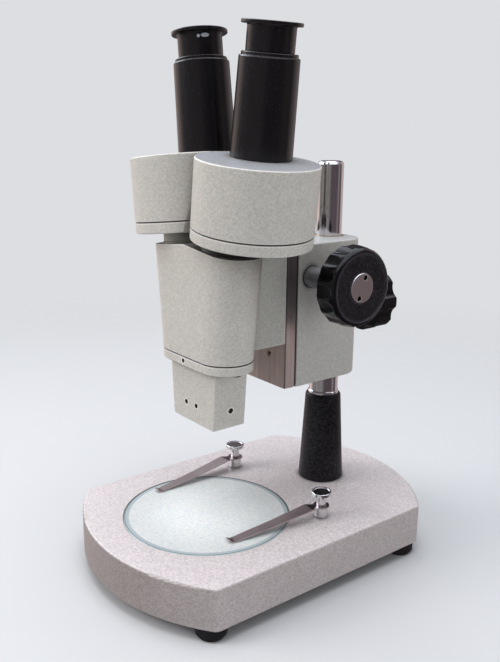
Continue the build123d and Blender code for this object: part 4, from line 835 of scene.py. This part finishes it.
def add_floor():
    points = [(0.0, FLOOR_Y, TABLE_Z)]
    for i in range(FLOOR_SEGMENTS):
        angle = 2 * math.pi * i / FLOOR_SEGMENTS
        points.append((FLOOR_RADIUS * math.cos(angle),
                       FLOOR_Y + FLOOR_RADIUS * math.sin(angle), TABLE_Z))
    faces = [(0, 1 + i, 1 + (i + 1) % FLOOR_SEGMENTS) for i in range(FLOOR_SEGMENTS)]
    mesh = bpy.data.meshes.new("floor")
    mesh.from_pydata(points, [], faces)
    floor = bpy.data.objects.new("floor", mesh)
    bpy.context.scene.collection.objects.link(floor)
    mesh.materials.append(floor_paper())
    floor.visible_glossy = False


add_floor()

# ---------------------------------------------------------------- world
# what matt surfaces see, from straight down to straight up: position, colour
SOFT_ROOM = (
    (0.00, (0.36, 0.35, 0.34)),
    (0.45, (0.40, 0.385, 0.37)),
    (0.70, (0.52, 0.52, 0.52)),
    (1.00, (0.80, 0.82, 0.86)),
)


def soft_room(graph, z):
    """A soft pale room, cooler overhead."""
    ramp = graph.node("ShaderNodeValToRGB", {0: graph.mask(z, -1.0, 1.0, smooth=True)})
    elements = ramp.color_ramp.elements
    while len(elements) < len(SOFT_ROOM):
        elements.new(0.5)
    for element, (position, color) in zip(elements, SOFT_ROOM):
        element.position = position
        element.color = (*color, 1.0)
    return ramp.outputs[0]


def reflected_room(graph, x, y, z):
    """What polished surfaces reflect, laid out from the camera's side: toward is 1 in the
    camera's direction, across is 1 to the camera's right."""
    flat = graph.math("MAXIMUM", graph.hypot(x, y), 0.001)
    sine, cosine = math.sin(CAMERA_AZIMUTH), math.cos(CAMERA_AZIMUTH)
    toward = graph.math("DIVIDE", graph.add(graph.mul(x, sine), graph.mul(y, -cosine)), flat)
    across = graph.math("DIVIDE", graph.add(graph.mul(x, cosine), graph.mul(y, sine)), flat)

    def step(value, zero_at, one_at):
        return graph.mask(value, zero_at, one_at, smooth=True)

    def band(value, rise, fall):
        return graph.band(value, rise, fall, smooth=True)

    # dim room, greyer on the left
    room = graph.tint((0.27, 0.26, 0.265), (0.110, 0.090, 0.105), step(across, -0.25, 0.05))
    # upright stripe on the right
    stripe = graph.mul(band(toward, (-0.02, 0.14), (0.46, 0.34)), step(across, 0.3, 0.5))
    room = graph.tint(room, (0.27, 0.235, 0.240), stripe)
    # dark ground
    room = graph.tint(room, (0.085, 0.070, 0.068), step(z, -0.28, -0.60))
    # pale warm walls on both sides beyond the object, brighter on the left
    walls = graph.mul(band(toward, (-0.18, -0.40), (-0.97, -0.88)),
                      band(z, (-0.60, -0.30), (0.85, 0.55)))
    wall_color = graph.tint((0.92, 0.76, 0.69), (0.56, 0.48, 0.47), step(across, -0.1, 0.1))
    room = graph.tint(room, wall_color, walls)
    # bright window high on the left
    window = graph.mul(
        band(z, (0.26, 0.38), (0.84, 0.76)),
        graph.mul(step(across, -0.45, -0.60), step(toward, 0.25, 0.10)))
    room = graph.tint(room, (5.2, 5.7, 6.6), window)
    # pale ceiling
    return graph.tint(room, (1.9, 2.0, 2.2), step(z, 0.60, 0.74))


def add_world():
    """Separate surroundings for matt surfaces, for reflections and for the camera."""
    world = bpy.data.worlds.new("studio")
    bpy.context.scene.world = world
    world.use_nodes = True
    graph = Graph(world.node_tree)
    x, y, z = graph.split(graph.node("ShaderNodeTexCoord").outputs["Generated"])
    path = graph.node("ShaderNodeLightPath")

    def background(color, strength):
        return graph.node("ShaderNodeBackground",
                          {"Color": color, "Strength": strength}).outputs[0]

    def choose(ray, otherwise, chosen):
        return graph.node("ShaderNodeMixShader",
                          {0: path.outputs[ray], 1: otherwise, 2: chosen}).outputs[0]

    matt = background(soft_room(graph, z), strength=0.60)
    gloss = background(reflected_room(graph, x, y, z), strength=1.0)
    backdrop = background(linear(220, 222, 225), strength=1.0)
    surface = choose("Is Camera Ray", choose("Is Glossy Ray", matt, gloss), backdrop)
    graph.node("ShaderNodeOutputWorld", {"Surface": surface})


add_world()

# ---------------------------------------------------------------- lights
LIGHT_TARGET = Vector((0.0, 0.03, 0.08))


def area_light(name, place, size, power, color):
    """A square light aimed at the target, hidden from the camera and from reflections."""
    data = bpy.data.lights.new(name, "AREA")
    data.shape = "RECTANGLE"
    data.size = size
    data.size_y = size
    data.energy = power
    data.color = color
    light = bpy.data.objects.new(name, data)
    light.location = place
    light.rotation_mode = "QUATERNION"
    light.rotation_quaternion = (LIGHT_TARGET - Vector(place)).to_track_quat("-Z", "Y")
    light.visible_camera = False
    light.visible_glossy = False
    bpy.context.scene.collection.objects.link(light)


area_light("key_left", place=(-0.60, -1.05, 0.75), size=0.80, power=11.7,
           color=(1.0, 0.948, 0.925))
area_light("top_soft", place=(-0.05, 0.00, 1.45), size=1.20, power=18.0,
           color=(0.965, 0.975, 0.995))
area_light("fill_right", place=(1.20, 0.02, 0.18), size=0.80, power=4.4,
           color=(0.98, 0.985, 1.0))

# ---------------------------------------------------------------- camera
CAMERA_PITCH = math.radians(-14.86)
CAMERA_ROLL = math.radians(0.59)
CAMERA_PLACE = (0.34113, -0.23544, 0.21783)
SENSOR_WIDTH = 36.0  # mm
FOCAL_LENGTH = 43.10864048  # mm


def add_camera():
    forward = Vector((-math.sin(CAMERA_AZIMUTH) * math.cos(CAMERA_PITCH),
                      math.cos(CAMERA_AZIMUTH) * math.cos(CAMERA_PITCH),
                      math.sin(CAMERA_PITCH)))
    level = Vector((math.cos(CAMERA_AZIMUTH), math.sin(CAMERA_AZIMUTH), 0.0))
    upright = level.cross(forward)
    right = math.cos(CAMERA_ROLL) * level + math.sin(CAMERA_ROLL) * upright
    up = -math.sin(CAMERA_ROLL) * level + math.cos(CAMERA_ROLL) * upright

    data = bpy.data.cameras.new("camera")
    data.sensor_width = SENSOR_WIDTH
    data.sensor_fit = "AUTO"
    data.lens = FOCAL_LENGTH
    data.clip_start = 0.01
    data.clip_end = 20.0
    camera = bpy.data.objects.new("camera", data)
    bpy.context.scene.collection.objects.link(camera)
    rows = list(zip(right, up, -forward, CAMERA_PLACE))
    camera.matrix_world = Matrix((*rows, (0, 0, 0, 1)))
    bpy.context.scene.camera = camera


add_camera()
bpy.context.scene.view_settings.view_transform = "Standard"
bpy.context.view_layer.update()
